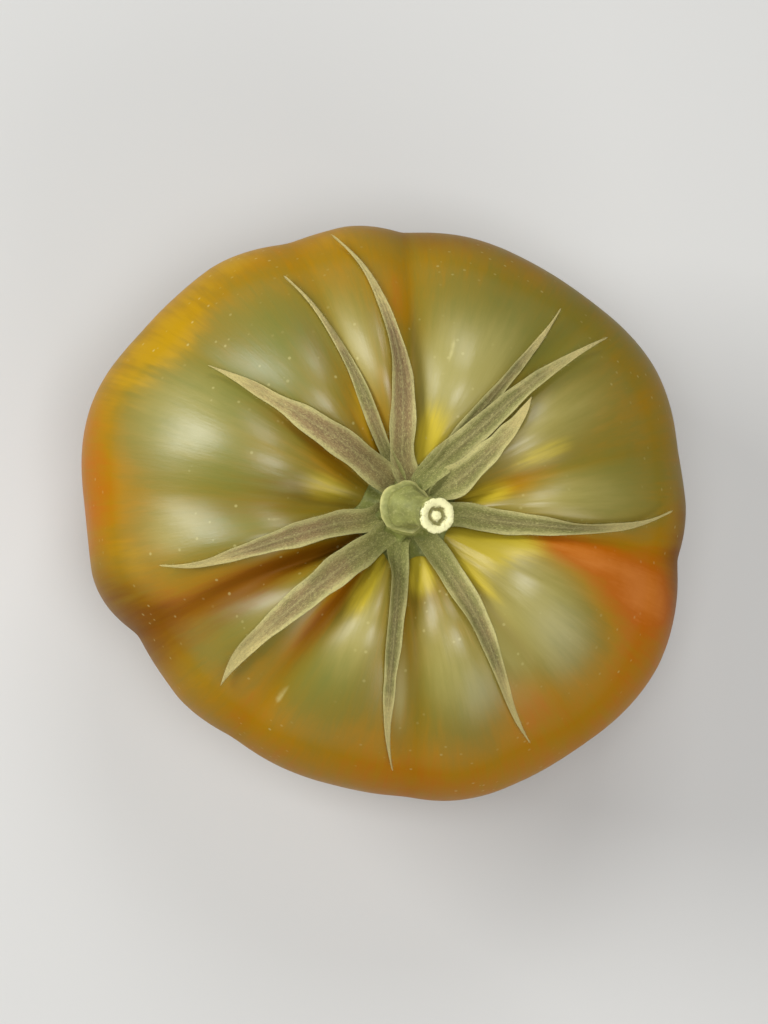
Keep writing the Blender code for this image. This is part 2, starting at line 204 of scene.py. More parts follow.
# Soft patches of the skin: azimuth, level (0 at the stem, 1 at the widest ring, 2
# at the blossom end), half widths in degrees and in level, and amount
Patch = namedtuple("Patch", "azimuth level spread depth amount")
PATCHES = {
    "ripeness": (
        (133, 0.66, 20.0, 0.20, -0.26), (153, 0.76, 12.0, 0.16, -0.22), (168, 0.60, 10.0, 0.30, -0.20),
        (186, 0.60, 8.0, 0.18, -0.22), (215, 0.74, 9.0, 0.18, -0.16), (246, 0.66, 12.0, 0.18, -0.18),
        (284, 0.62, 12.0, 0.20, -0.14), (322, 0.62, 13.0, 0.16, -0.18), (50, 0.76, 16.0, 0.20, -0.20),
        (72, 0.60, 14.0, 0.26, -0.16), (5, 0.74, 12.0, 0.22, -0.14), (30, 1.00, 34.0, 0.22, -0.12),
        (78, 0.98, 16.0, 0.16, -0.06), (172, 1.00, 13.0, 0.13, 0.22), (302, 0.74, 8.0, 0.10, 0.18),
        (192, 0.92, 9.0, 0.14, -0.06), (112, 0.28, 9.0, 0.14, 0.26), (150, 0.26, 9.0, 0.10, 0.18),
        (203, 0.56, 5.0, 0.36, 0.34), (231, 0.46, 4.5, 0.30, 0.38), (343, 0.74, 10.0, 0.24, 0.47),
        (348, 0.50, 6.0, 0.20, 0.42), (338, 0.96, 16.0, 0.16, 0.08), (318, 0.88, 24.0, 0.20, 0.10),
        (268, 0.96, 22.0, 0.16, 0.12), (92, 0.70, 3.5, 0.12, 0.24), (14, 0.34, 6.0, 0.10, 0.22),
    ),
    # Browning: partly real brown, and partly painted shade in the grooves and on the rim, where less light
    # falls
    "browning": (
        (203, 0.46, 4.5, 0.34, 0.75), (209, 0.66, 5.5, 0.26, 0.45), (201, 0.97, 14.0, 0.13, 0.75),
        (120, 0.60, 4.0, 0.14, 0.25), (352, 1.00, 16.0, 0.09, 0.70), (180, 0.46, 5.0, 0.20, 0.25),
        (231, 0.40, 3.2, 0.26, 0.60), (166, 0.34, 8.0, 0.20, 0.30), (98, 0.34, 3.0, 0.16, 0.35),
        (144, 0.36, 3.0, 0.16, 0.40), (268, 0.42, 3.0, 0.24, 0.35), (290, 0.98, 40.0, 0.14, 0.12),
        (80, 0.99, 22.0, 0.10, 0.46), (20, 0.90, 30.0, 0.20, 0.12),
    ),
    "yellowing": (
        (73, 0.23, 13.0, 0.14, 1.00), (12, 0.25, 9.0, 0.10, 0.85), (23, 0.46, 4.5, 0.12, 0.75),
        (283, 0.20, 12.0, 0.08, 1.10), (241, 0.27, 8.0, 0.16, 1.05), (334, 0.25, 16.0, 0.12, 1.10),
        (344, 0.34, 8.0, 0.15, 0.80), (316, 0.30, 4.0, 0.14, 0.60), (113, 0.30, 8.0, 0.14, 0.50),
        (164, 0.25, 10.0, 0.09, 0.80),
    ),
    "gilding": (
        (147, 0.92, 16.0, 0.10, 0.66), (124, 0.97, 10.0, 0.06, 0.45), (190, 0.90, 6.0, 0.08, 0.50),
        (216, 0.92, 12.0, 0.07, 0.30), (102, 0.94, 8.0, 0.06, 0.35),
    ),
    # Painted sheen: pale khaki laid on the crests of the lobes, where the lights shine on the skin
    "paleness": (
        (72, 0.44, 15.0, 0.26, 1.00), (60, 0.54, 7.0, 0.24, 0.50), (283, 0.46, 13.0, 0.20, 0.50),
        (289, 0.62, 13.0, 0.14, 0.40), (307, 0.48, 8.0, 0.20, 1.00), (268, 0.62, 1.8, 0.16, 0.80),
        (328, 0.46, 15.0, 0.20, 0.90), (247, 0.46, 10.0, 0.20, 0.80), (107, 0.55, 6.5, 0.21, 0.70),
        (154, 0.44, 9.0, 0.20, 0.22), (32, 0.52, 10.0, 0.24, 0.75), (4, 0.54, 10.0, 0.24, 0.75),
        (184, 0.74, 8.0, 0.12, 0.60), (158, 0.73, 14.0, 0.17, 0.68), (129, 0.64, 7.0, 0.16, 0.15),
        (217, 0.56, 5.0, 0.20, 0.35), (318, 0.66, 10.0, 0.14, 0.45),
    ),
    "scuffing": (
        (75, 0.545, 0.9, 0.045, 0.8), (184, 0.420, 1.0, 0.030, 0.5), (236, 0.800, 0.9, 0.050, 0.6),
    ),
}
# How steeply a patch ends
PATCH_EDGE = 1.25
# Ripeness over the whole skin: at the stem, and what the rim and the base add, with
# the levels between which each of them sets in
RIPENESS_AT_STEM = 0.28
RIPENESS_AT_RIM = 0.22
RIM_LEVELS = (0.55, 1.0)
RIPENESS_AT_BASE = 0.24
BASE_LEVELS = (1.0, 1.7)
# The brown halo round the blossom scar: its amount and its width in level
HALO = 0.75
HALO_WIDTH = 0.10

# Points closer than this are one: on the fruit, and on the thin blades and the stem
SKIN_SEAM = 0.010 * MM
FINE_SEAM = 0.004 * MM
# A height above all pieces, to look down from
ABOVE = 0.2
# How far a hair leans, and how much denser the hairs are on the stem
HAIR_LEAN = 0.7
STEM_HAIRINESS = 1.5

# The stage, in metres: the floor, the photo's height to width ratio, the way from
# the fruit to the camera, what the lights point at, and the colour of the even light
FLOOR_HALF_WIDTH = 1.5
FLOOR_GAP = 0.03 * MM
PICTURE_RATIO = 1024.0 / 768.0
TOWARDS_CAMERA = Vector((-40.8, -25.8, 480.0))
LIT_POINT = Vector((0.0, 0.0, 0.03))
SKY_COLOUR = (0.93, 0.96, 1.0, 1.0)
Light = namedtuple("Light", "name place size colour")
LIGHTS = (
    Light("key", (-0.60, 0.22, 0.42), (0.40, 0.36), (0.99, 1.0, 0.99)),
    Light("back", (0.05, 0.53, 0.60), (0.30, 0.30), (0.98, 0.99, 1.0)),
    Light("fill", (-0.02, -0.08, 0.85), (0.40, 0.34), (0.97, 0.98, 1.0)),
    Light("front", (0.35, -0.62, 0.48), (0.60, 0.50), (1.0, 0.98, 0.95)),
)


def from_screen(*levels):
    """A colour picked on a screen, as the linear values that shaders use."""
    shares = [level / 255.0 for level in levels]
    return tuple(share / 12.92 if share <= 0.04045 else ((share + 0.055) / 1.055) ** 2.4 for share in shares)


def length_setting(name, description, default):
    return FloatProperty(name=name, description=description, default=default, unit="LENGTH", precision=5)


def share_setting(name, description, default):
    return FloatProperty(
        name=name, description=description, default=default, subtype="FACTOR", min=0.0, max=1.0)


def number_setting(name, description, default, unit="NONE"):
    return FloatProperty(name=name, description=description, default=default, unit=unit)


def count_setting(name, description, default):
    return IntProperty(name=name, description=description, default=default, min=3)


def colour_setting(name, description, red, green, blue):
    return FloatVectorProperty(
        name=name, description=description, default=from_screen(red, green, blue),
        subtype="COLOR", size=3, min=0.0, max=1.0,
    )


class TOMATO_fruit_settings(bpy.types.PropertyGroup):
    equator_height: length_setting("Equator height", "Height of the widest ring", 23.5 * MM)
    shoulder_rise: length_setting("Shoulder rise", "Rise of the uncut dome above the equator", 28.4 * MM)
    base_drop: length_setting("Base drop", "Drop of the base below the equator", 24.1 * MM)
    shoulder_fullness: number_setting("Shoulder fullness", "How square the upper meridian is", 2.2)
    base_fullness: number_setting("Base fullness", "How square the lower meridian is", 2.3)
    cavity_depth: length_setting("Cavity depth", "Depth of the hollow at the stem", 10.0 * MM)
    cavity_width: share_setting("Cavity width", "Width of the hollow as a share of the reach", 0.30)
    blossom_dimple: length_setting("Blossom dimple", "Depth of the dent at the blossom end", 0.9 * MM)
    groove_depth: length_setting("Groove depth", "Depth of the creases between the lobes", 3.0 * MM)
    groove_sharpness: number_setting("Groove sharpness", "How narrow the creases are", 2.2)
    groove_start: share_setting("Groove start", "Share of the reach where the creases start", 0.14)
    equator_groove: share_setting("Equator groove", "Share of the creases' depth at the equator", 0.16)
    columns: count_setting("Columns per lobe", "Fineness round the fruit", 34)
    rows: count_setting("Rows", "Fineness from stem to blossom end", 190)
    unevenness: length_setting("Unevenness", "Height of the broad dents in the skin", 0.55 * MM)
    fine_ribs: length_setting("Fine ribs", "Height of the fine ribs near the stem", 0.16 * MM)
    green: colour_setting("Green", "Unripe shoulders", 116, 116, 46)
    olive: colour_setting("Olive", "Turning shoulders", 134, 116, 34)
    amber: colour_setting("Amber", "Turning rim", 164, 118, 6)
    orange: colour_setting("Orange", "Ripe rim and base", 184, 98, 5)
    blush: colour_setting("Blush", "Ripest patches", 208, 126, 50)
    yellow: colour_setting("Yellow", "Skin close to the stem", 198, 176, 50)
    gold: colour_setting("Gold", "Golden places near the rim", 180, 140, 12)
    # Painted sheen, laid on the crests of the lobes
    sheen_khaki: colour_setting("Khaki", "Pale skin on the crests of the lobes", 162, 152, 84)
    # Painted shade in the grooves and on the rim, and the brown of the halo round the blossom scar
    shade: colour_setting("Shade", "Skin deep in the grooves", 112, 66, 10)
    fleck: colour_setting("Fleck", "Pale flecks", 196, 186, 120)


class TOMATO_calyx_settings(bpy.types.PropertyGroup):
    thickness: length_setting("Sepal thickness", "Thickness of a sepal's blade", 0.42 * MM)
    fold: share_setting("Fold", "How far the edges turn up", 0.50)
    midrib: length_setting("Midrib", "Height of a sepal's midrib", 0.16 * MM)
    veins: length_setting("Veins", "Height of the veins beside it", 0.05 * MM)
    fringe: number_setting("Fringe", "How much hairier the margins are", 4.0)
    stations: count_setting("Stations", "Fineness along a sepal", 90)
    section: count_setting("Section points", "Fineness round a sepal", 28)
    hub_height: length_setting("Hub height", "Height of the hub above the cavity floor", 3.6 * MM)
    green: colour_setting("Green", "Fresh sepal", 132, 130, 66)
    brown: colour_setting("Brown", "Dried sepal", 154, 128, 82)
    edge: colour_setting("Edge", "Pale margin of a sepal", 206, 197, 128)
    tip: colour_setting("Tip", "Dry tip of a sepal", 214, 196, 124)
    hub: colour_setting("Hub", "Green of the hub", 124, 129, 58)
    hair: colour_setting("Hair", "Fine hairs", 184, 180, 114)
    hair_length: length_setting("Hair length", "Length of the hairs", 0.48 * MM)
    hair_radius: length_setting("Hair radius", "Radius of a hair's foot", 0.012 * MM)
    hair_density: number_setting("Hairs per area", "Hairs on a square metre of sepal", 5.0e6)


class TOMATO_stem_settings(bpy.types.PropertyGroup):
    azimuth: number_setting("Lean azimuth", "Where the stem leans", radians(-20.0), "ROTATION")
    ribs: number_setting("Ribs", "Ridges round the stem", 5.0)
    rib_depth: share_setting("Rib depth", "Height of the ridges as a share of the radius", 0.035)
    green: colour_setting("Green", "Stem skin", 140, 142, 72)
    cut: colour_setting("Cut", "Cut end", 238, 234, 176)
    pith: colour_setting("Pith shadow", "Hollow round the pith", 128, 124, 66)
    cork: colour_setting("Cork", "Blossom scar", 132, 100, 58)


class TOMATO_stage_settings(bpy.types.PropertyGroup):
    floor_colour: colour_setting("Floor", "Floor under the fruit", 202, 201, 198)
    field_width: length_setting("Field width", "Width that the view takes in at the fruit", 96.0 * MM)
    view_distance: length_setting("View distance", "From the widest ring to the camera", 483.0 * MM)
    key_power: number_setting("Key power", "Power of the large soft light", 4.1, "POWER")
    back_power: number_setting("Back power", "Power of the far light", 1.6, "POWER")
    fill_power: number_setting("Fill power", "Power of the overhead light", 3.5, "POWER")
    front_power: number_setting("Front power", "Power of the near light", 2.2, "POWER")
    sky: number_setting("Sky", "Strength of the even light", 0.12)


def sizes_from(settings, *names):
    """Settings as the inputs of a tree, titled after their names."""
    return {name.replace("_", " ").title(): getattr(settings, name) for name in names}


def smooth_step(low, high, value):
    """A smooth rise from 0 to 1 between two values."""
    share = min(max((value - low) / (high - low), 0.0), 1.0)
    return share * share * (3.0 - 2.0 * share)


def rising(values, low, high):
    """How far each value has come from a low to a high one, from 0 to 1."""
    return np.clip((values - low) / (high - low), 0.0, 1.0)


def turn_from(azimuth, other):
    """The way round from one azimuth to another, from -180 to 180 degrees."""
    return (other - azimuth + 180.0) % 360.0 - 180.0


def shaded(colour, factor):
    """A darker or lighter colour of the same hue."""
    return tuple(factor * value for value in colour)


class Field:
    """A node socket that plain arithmetic can be written with."""

    def __init__(self, tree, socket):
        self.tree = tree
        self.socket = socket

    def math(self, operation, *others):
        return math_field(self.tree, operation, self, *others)

    def __add__(self, other):
        return self.math("ADD", other)

    def __sub__(self, other):
        return self.math("SUBTRACT", other)

    def __rsub__(self, other):
        return math_field(self.tree, "SUBTRACT", other, self)

    def __mul__(self, other):
        return self.math("MULTIPLY", other)

    def __truediv__(self, other):
        return self.math("DIVIDE", other)

    def __rtruediv__(self, other):
        return math_field(self.tree, "DIVIDE", other, self)

    def __pow__(self, other):
        return self.math("POWER", other)

    def bell(self, width):
        """1 at zero, falling away over a width."""
        ratio = self / width
        return (ratio * ratio * -1.0).math("EXPONENT")

    def between(self, low, high, to_low=0.0, to_high=1.0):
        """A smooth change from one value to another, as this goes from low to high."""
        ranges = {"Value": self, "From Min": low, "From Max": high, "To Min": to_low, "To Max": to_high}
        return new_field(self.tree, "ShaderNodeMapRange", 0, ranges, interpolation_type="SMOOTHSTEP")

    def scaled(self, factor):
        """This vector times a number."""
        return new_field(self.tree, "ShaderNodeVectorMath", 0, {0: self, "Scale": factor}, operation="SCALE")

    def plus(self, other):
        """This vector and another added up."""
        return new_field(self.tree, "ShaderNodeVectorMath", 0, {0: self, 1: other}, operation="ADD")

    def stretched(self, factors):
        """This vector times another, axis by axis."""
        return new_field(self.tree, "ShaderNodeVectorMath", 0, {0: self, 1: factors}, operation="MULTIPLY")

    def split(self):
        """The x, y and z of this vector."""
        node = new_node(self.tree, "ShaderNodeSeparateXYZ", {0: self})
        return [Field(self.tree, output) for output in node.outputs]

    def noise(self, scale, detail=2.0, roughness=0.5):
        """Soft noise from 0 to 1, read at this place."""
        inputs = {"Vector": self, "Scale": scale, "Detail": detail, "Roughness": roughness}
        return new_field(self.tree, "ShaderNodeTexNoise", "Fac", inputs)


def put(tree, socket, value):
    """Feed a socket with a field, or give it a plain value."""
    if isinstance(value, Field):
        tree.links.new(value.socket, socket)
    else:
        socket.default_value = value


def new_node(tree, kind, inputs=None, **settings):
    """A node with its settings made and its inputs fed."""
    node = tree.nodes.new(kind)
    for name, setting in settings.items():
        setattr(node, name, setting)
    for name, value in (inputs or {}).items():
        put(tree, node.inputs[name], value)
    return node


def new_field(tree, kind, output=0, inputs=None, **settings):
    """One output of a new node."""
    return Field(tree, new_node(tree, kind, inputs, **settings).outputs[output])


def math_field(tree, operation, *values):
    return new_field(tree, "ShaderNodeMath", 0, dict(enumerate(values)), operation=operation)


def join(x, y, z):
    """A vector made of three fields."""
    return new_field(x.tree, "ShaderNodeCombineXYZ", 0, {0: x, 1: y, 2: z})


class GeometryTree:
    """A geometry node tree that is written from its named inputs to its last nodes."""

    def __init__(self, name, inputs):
        self.tree = bpy.data.node_groups.new(name, "GeometryNodeTree")
        interface = self.tree.interface
        interface.new_socket("Geometry", in_out="INPUT", socket_type="NodeSocketGeometry")
        for title, value in inputs.items():
            kind = "NodeSocketInt" if isinstance(value, int) else "NodeSocketFloat"
            interface.new_socket(title, in_out="INPUT", socket_type=kind).default_value = value
        interface.new_socket("Material", in_out="INPUT", socket_type="NodeSocketMaterial")
        interface.new_socket("Geometry", in_out="OUTPUT", socket_type="NodeSocketGeometry")
        self.start = self.tree.nodes.new("NodeGroupInput")
        self.source = self.value("Geometry")

    def value(self, title):
        """One of the tree's inputs."""
        return Field(self.tree, self.start.outputs[title])

    def position(self):
        return new_field(self.tree, "GeometryNodeInputPosition")

    def normal(self):
        return new_field(self.tree, "GeometryNodeInputNormal")

    def named(self, title, kind="FLOAT"):
        """An attribute of the geometry at hand."""
        node = "GeometryNodeInputNamedAttribute"
        return new_field(self.tree, node, "Attribute", {"Name": title}, data_type=kind)

    def sample(self, title, index, kind="FLOAT"):
        """An attribute of the source at an index."""
        inputs = {"Geometry": self.source, "Value": self.named(title, kind), "Index": index}
        return new_field(self.tree, "GeometryNodeSampleIndex", 0, inputs, data_type=kind, domain="POINT")

    def sheet(self, columns, rows):
        """A flat sheet one unit to a column and to a row, with its own indices."""
        grid = new_field(self.tree, "GeometryNodeMeshGrid", "Mesh", {
            "Size X": columns, "Size Y": rows, "Vertices X": columns + 1.0, "Vertices Y": rows + 1.0,
        })
        x, y, _ = self.position().split()
        return grid, (x + columns * 0.5).math("ROUND"), (y + rows * 0.5).math("ROUND")

    def change(self, geometry, kind, inputs, **settings):
        """What a node makes of a geometry."""
        return new_field(self.tree, kind, "Geometry", {"Geometry": geometry, **inputs}, **settings)

    def store(self, geometry, measures, kind="FLOAT"):
        """Keep fields on the points of a geometry, under their titles."""
        for title, value in measures.items():
            geometry = self.change(geometry, "GeometryNodeStoreNamedAttribute",
                                   {"Name": title, "Value": value}, data_type=kind, domain="POINT")
        return geometry

    def place(self, geometry, position):
        return self.change(geometry, "GeometryNodeSetPosition", {"Position": position})

    def shift(self, geometry, offset):
        return self.change(geometry, "GeometryNodeSetPosition", {"Offset": offset})

    def weld(self, geometry, distance):
        return self.change(geometry, "GeometryNodeMergeByDistance", {"Distance": distance})

    def end(self, geometry, smooth=True):
        """Shade, realize and give the material, as the last nodes of the tree."""
        shaped = self.change(geometry, "GeometryNodeSetShadeSmooth", {"Shade Smooth": smooth})
        real = self.change(shaped, "GeometryNodeRealizeInstances", {})
        dressed = self.change(real, "GeometryNodeSetMaterial", {"Material": self.value("Material")})
        new_node(self.tree, "NodeGroupOutput", {"Geometry": dressed})
        return self.tree


def grow(name, source, make_tree, sizes, material):
    """Run a tree on a source mesh and keep what it makes as a plain mesh."""
    tree = make_tree(sizes)
    inputs = {**sizes, "Material": material}
    item = bpy.data.objects.new(name, source)
    bpy.context.scene.collection.objects.link(item)
    modifier = item.modifiers.new("grow", "NODES")
    modifier.node_group = tree
    for socket in tree.interface.items_tree:
        if socket.in_out == "INPUT" and socket.name in inputs:
            modifier[socket.identifier] = inputs[socket.name]
    bpy.context.view_layer.update()
    view = bpy.context.evaluated_depsgraph_get()
    mesh = bpy.data.meshes.new_from_object(item.evaluated_get(view))
    item.modifiers.clear()
    item.data = mesh
    bpy.data.meshes.remove(source)
    bpy.data.node_groups.remove(tree)
    if not mesh.polygons:
        raise RuntimeError(f"{name} came out empty")
    return item


def store_on(mesh, **measures):
    """Keep numbers or vectors on the points of a mesh, under their titles."""
    for title, values in measures.items():
        values = np.asarray(values, np.float32)
        kind, name = ("FLOAT_VECTOR", "vector") if values.ndim == 2 else ("FLOAT", "value")
        mesh.attributes.new(title, kind, "POINT").data.foreach_set(name, values.ravel())


def read_from(mesh, title):
    """The numbers kept on the points of a mesh."""
    values = np.zeros(len(mesh.vertices), np.float32)
    mesh.attributes[title].data.foreach_get("value", values)
    return values


def mesh_from(name, points, faces=(), **measures):
    """A mesh with numbers or vectors on its points."""
    mesh = bpy.data.meshes.new(name)
    mesh.from_pydata([tuple(point) for point in points], (), faces)
    store_on(mesh, **measures)
    return mesh


def points_and_faces(*names):
    """The points and faces of finished pieces, as those of one mesh."""
    points, faces = [], []
    for name in names:
        mesh = bpy.data.objects[name].data
        start = len(points)
        points += [vertex.co.copy() for vertex in mesh.vertices]
        faces += [[start + corner for corner in face.vertices] for face in mesh.polygons]
    return points, faces


def sector_faces(middle, first, side, sides, rings):
    """One sector of a disc, from its middle point through rings that start at a point."""
    after = (side + 1) % sides
    faces = [(middle, first + side, first + after)]
    for ring in range(rings - 1):
        start = first + ring * sides
        faces.append((start + side, start + sides + side, start + sides + after, start + after))
    return faces


def turned_over(faces):
    """The same faces seen from their other side."""
    return [(face[0], *face[:0:-1]) for face in faces]


def turn_outward(mesh):
    """Turn the faces of a closed mesh outward."""
    if sum(face.center.dot(face.normal) * face.area for face in mesh.polygons) < 0.0:
        mesh.flip_normals()


def add_object(mesh, material):
    item = bpy.data.objects.new(mesh.name, mesh)
    bpy.context.scene.collection.objects.link(item)
    mesh.materials.append(material)
    return item


def finish_piece(item, slot, *nodes):
    """Fix a piece to the body and hide the solids that it stands in for."""
    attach(item, BODY)
    if nodes:
        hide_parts(*nodes)


def add_closed_piece(mesh, material, slot, *nodes):
    """Finish a closed mesh as a piece of its own."""
    item = add_object(mesh, material)
    mesh.shade_smooth()
    turn_outward(mesh)
    finish_piece(item, slot, *nodes)


class Paint:
    """A material whose shader is fed by fields."""

    def __init__(self, name):
        self.material = bpy.data.materials.new(name)
        self.material.use_nodes = True
        self.tree = self.material.node_tree
        self.shader = self.tree.nodes["Principled BSDF"]

    def attribute(self, title, output="Fac"):
        return new_field(self.tree, "ShaderNodeAttribute", output, attribute_name=title)

    def place(self):
        return new_field(self.tree, "ShaderNodeTexCoord", "Object")

    def edge_on(self):
        """0 where the surface faces the viewer and 1 where it turns away."""
        return new_field(self.tree, "ShaderNodeLayerWeight", "Facing")

    def mix(self, share, below, above):
        """A share of one colour laid over another."""
        below, above = (value if isinstance(value, Field) else (*value, 1.0) for value in (below, above))
        inputs = {"Factor": share, 6: below, 7: above}
        return new_field(self.tree, "ShaderNodeMix", 2, inputs, data_type="RGBA")

    def layered(self, colour, *layers):
        """A colour with others laid over it in turn, each by its own share."""
        for share, above in layers:
            colour = self.mix(share, colour, above)
        return colour

    def ramp(self, factor, stops):
        """A colour read from a row of stops."""
        node = new_node(self.tree, "ShaderNodeValToRGB", {0: factor})
        elements = node.color_ramp.elements
        while len(elements) < len(stops):
            elements.new(0.5)
        for element, (spot, colour) in zip(elements, stops):
            element.position = spot
            element.color = (*colour, 1.0)
        return Field(self.tree, node.outputs["Color"])

    def flecks(self, place, scale, size):
        """Small round spots, 1 inside and 0 outside."""
        inputs = {"Vector": place, "Scale": scale}
        return new_field(self.tree, "ShaderNodeTexVoronoi", "Distance", inputs).between(size, 0.4 * size)

    def bump(self, height, depth, strength, under=None):
        """Relief of a depth, over other relief where there is some."""
        inputs = {"Strength": strength, "Distance": depth, "Height": height}
        if under is not None:
            inputs["Normal"] = under
        return new_field(self.tree, "ShaderNodeBump", "Normal", inputs)

    def finish(self, colour, roughness, normal=None):
        put(self.tree, self.shader.inputs["Base Color"], colour)
        put(self.tree, self.shader.inputs["Roughness"], roughness)
        if normal is not None:
            put(self.tree, self.shader.inputs["Normal"], normal)
        return self.material


def lobe_width(index):
    """The angle between a lobe's two grooves, in degrees."""
    following = LOBES[(index + 1) % len(LOBES)]
    return (following.groove - LOBES[index].groove) % 360.0


def reach_at(index, across):
    """The distance from the axis to the rim, at a place from -1 to 1 across a lobe."""
    near = LOBES[index]
    other_index = (index + (1 if across > 0.0 else -1)) % len(LOBES)
    half_here = 0.5 * lobe_width(index)
    span = half_here + 0.5 * lobe_width(other_index)
    share = smooth_step(0.0, 1.0, abs(across) * half_here / span)
    return near.reach + (LOBES[other_index].reach - near.reach) * share


def rim_source(settings):
    """A ring of points, one for each column, that carries the lobes' measures."""
    rows = []
    for index, lobe in enumerate(LOBES):
        following = LOBES[(index + 1) % len(LOBES)]
        for column in range(settings.columns):
            across = 2.0 * column / settings.columns - 1.0
            blend = 0.5 * (across + 1.0)
            inward = ((1.0 - abs(across)) ** 2 + GROOVE_ROUNDING ** 2) ** 0.5 - GROOVE_ROUNDING
            strength = lobe.strength + (following.strength - lobe.strength) * blend
            rim_dip = lobe.rim_dip + (following.rim_dip - lobe.rim_dip) * blend
            # The last measure is the groove's line, which paints shade along the groove and dulls the gloss
            # there
            rows.append((
                radians(lobe.groove + lobe_width(index) * blend),
                reach_at(index, across),
                strength * (1.0 - inward) ** settings.groove_sharpness,
                rim_dip * (1.0 - inward) ** DIP_SHARPNESS,
                strength * abs(across) ** GROOVE_LINE,
            ))
    azimuths, reaches, creases, dips, lines = zip(*rows)
    points = [(reach * cos(angle), reach * sin(angle), 0.0) for reach, angle in zip(reaches, azimuths)]
    return mesh_from("rim", points, azimuth=azimuths, reach=reaches, crease=creases, dip=dips, line=lines)


def meridian_fields(body, latitude):
    """The share of the reach and the height of the smooth meridian, and which half it is."""
    upper = latitude.math("GREATER_THAN", 0.0)
    lower = 1.0 - upper
    power = 2.0 / body.value("Shoulder Fullness") * upper + 2.0 / body.value("Base Fullness") * lower
    share = latitude.math("COSINE").math("MAXIMUM", 0.0) ** power
    rise = latitude.math("SINE").math("ABSOLUTE") ** power
    swing = body.value("Shoulder Rise") * upper - body.value("Base Drop") * lower
    hollow = share.bell(body.value("Cavity Width")) * body.value("Cavity Depth") * upper
    height = body.value("Equator Height") + swing * rise - hollow
    dimple = share.bell(DIMPLE_WIDTH) * body.value("Blossom Dimple") * lower
    return share, height.math("MAXIMUM", 0.0) + dimple, upper, lower


def lobed_body_tree(sizes):
    """The fruit: a meridian swept round the axis, stretched and creased lobe by lobe."""
    body = GeometryTree("Lobed body", sizes)
    columns, rows = body.value("Columns"), body.value("Rows")
    sheet, column, row = body.sheet(columns, rows)
    index = column.math("MODULO", columns)
    azimuth = body.sample("azimuth", index)
    share, height, upper, lower = meridian_fields(body, (row / rows - 0.5) * pi)

    # How deep each crease is from the stem over the rim to the blossom end
    near_stem = 1.0 - share.bell(body.value("Groove Start"))
    equator_groove = body.value("Equator Groove")
    above = near_stem * share.between(0.40, 1.00, 1.0, equator_groove)
    below = share.between(0.36, 0.80, 0.0, equator_groove)
    dip_weight = share.between(0.50, 1.00) * upper + share.between(0.40, 0.95) * lower
    sunk = body.sample("crease", index) * body.value("Groove Depth") * (above * upper + below * lower)
    sunk = sunk + body.sample("dip", index) * dip_weight
    level = share * upper + (2.0 - share) * lower
    # The line of painted shade along each groove, which fades out at the stem and weakens towards the rim
    line = body.sample("line", index) * near_stem * level.between(0.55, 1.0, 1.0, 0.25)

    across_x, across_y = azimuth.math("COSINE"), azimuth.math("SINE")
    geometry = body.store(sheet, {
        "azimuth": azimuth, "level": level, "sunk": sunk, "share": share, "line": line,
    })
    grain = join(across_x, across_y, level * GRAIN_CHANGE)
    geometry = body.store(geometry, {"grain": grain}, "FLOAT_VECTOR")
    distance = body.sample("reach", index) * share
    spot_x = distance * across_x + body.value("Axis X")
    spot_y = distance * across_y + body.value("Axis Y")
    spot = join(spot_x, spot_y, height)
    geometry = body.weld(body.place(geometry, spot), SKIN_SEAM)

    # Broad dents, fine ribs and the creases move the skin along its normal
    stored_share = body.named("share")
    dents = (body.position().noise(DENT_CLOSENESS, detail=1.0) - 0.5) * body.value("Unevenness")
    stored_grain = body.named("grain", "FLOAT_VECTOR")
    ribs = (stored_grain.noise(FINE_RIB_CLOSENESS) - 0.5) * body.value("Fine Ribs")
    rib_weight = stored_share.between(0.35, 0.85, 1.0, 0.15) * stored_share.between(0.05, 0.2)
    lift = dents * stored_share.between(0.1, 0.4) + ribs * rib_weight - body.named("sunk")
    geometry = body.shift(geometry, body.normal().scaled(lift))
    x, y, z = body.position().split()
    return body.end(body.place(geometry, join(x, y, z.math("MAXIMUM", 0.0))))


def patch_sum(patches, azimuth, level):
    """How strongly a set of soft patches acts on each point."""
    total = np.zeros_like(azimuth)
    for patch in (Patch(*row) for row in patches):
        turn = turn_from(patch.azimuth, np.degrees(azimuth))
        away = (turn / patch.spread) ** 2 + ((level - patch.level) / patch.depth) ** 2
        total += patch.amount * np.exp(-(away ** PATCH_EDGE))
    return total


def mark_skin(mesh):
    """Store how ripe, yellow, golden and scuffed each point of the skin is, how brown or darkened by painted
    shade, and how much painted sheen it has.
    """
    azimuth, level = read_from(mesh, "azimuth"), read_from(mesh, "level")
    marks = {title: patch_sum(patches, azimuth, level) for title, patches in PATCHES.items()}
    rim, base = rising(level, *RIM_LEVELS), rising(level, *BASE_LEVELS)
    rim_share = rim * rim * (3.0 - 2.0 * rim)
    marks["ripeness"] += RIPENESS_AT_STEM + RIPENESS_AT_RIM * rim_share + RIPENESS_AT_BASE * base
    marks["browning"] += HALO * np.exp(-(((2.0 - level) / HALO_WIDTH) ** 2))
    store_on(mesh, **marks)


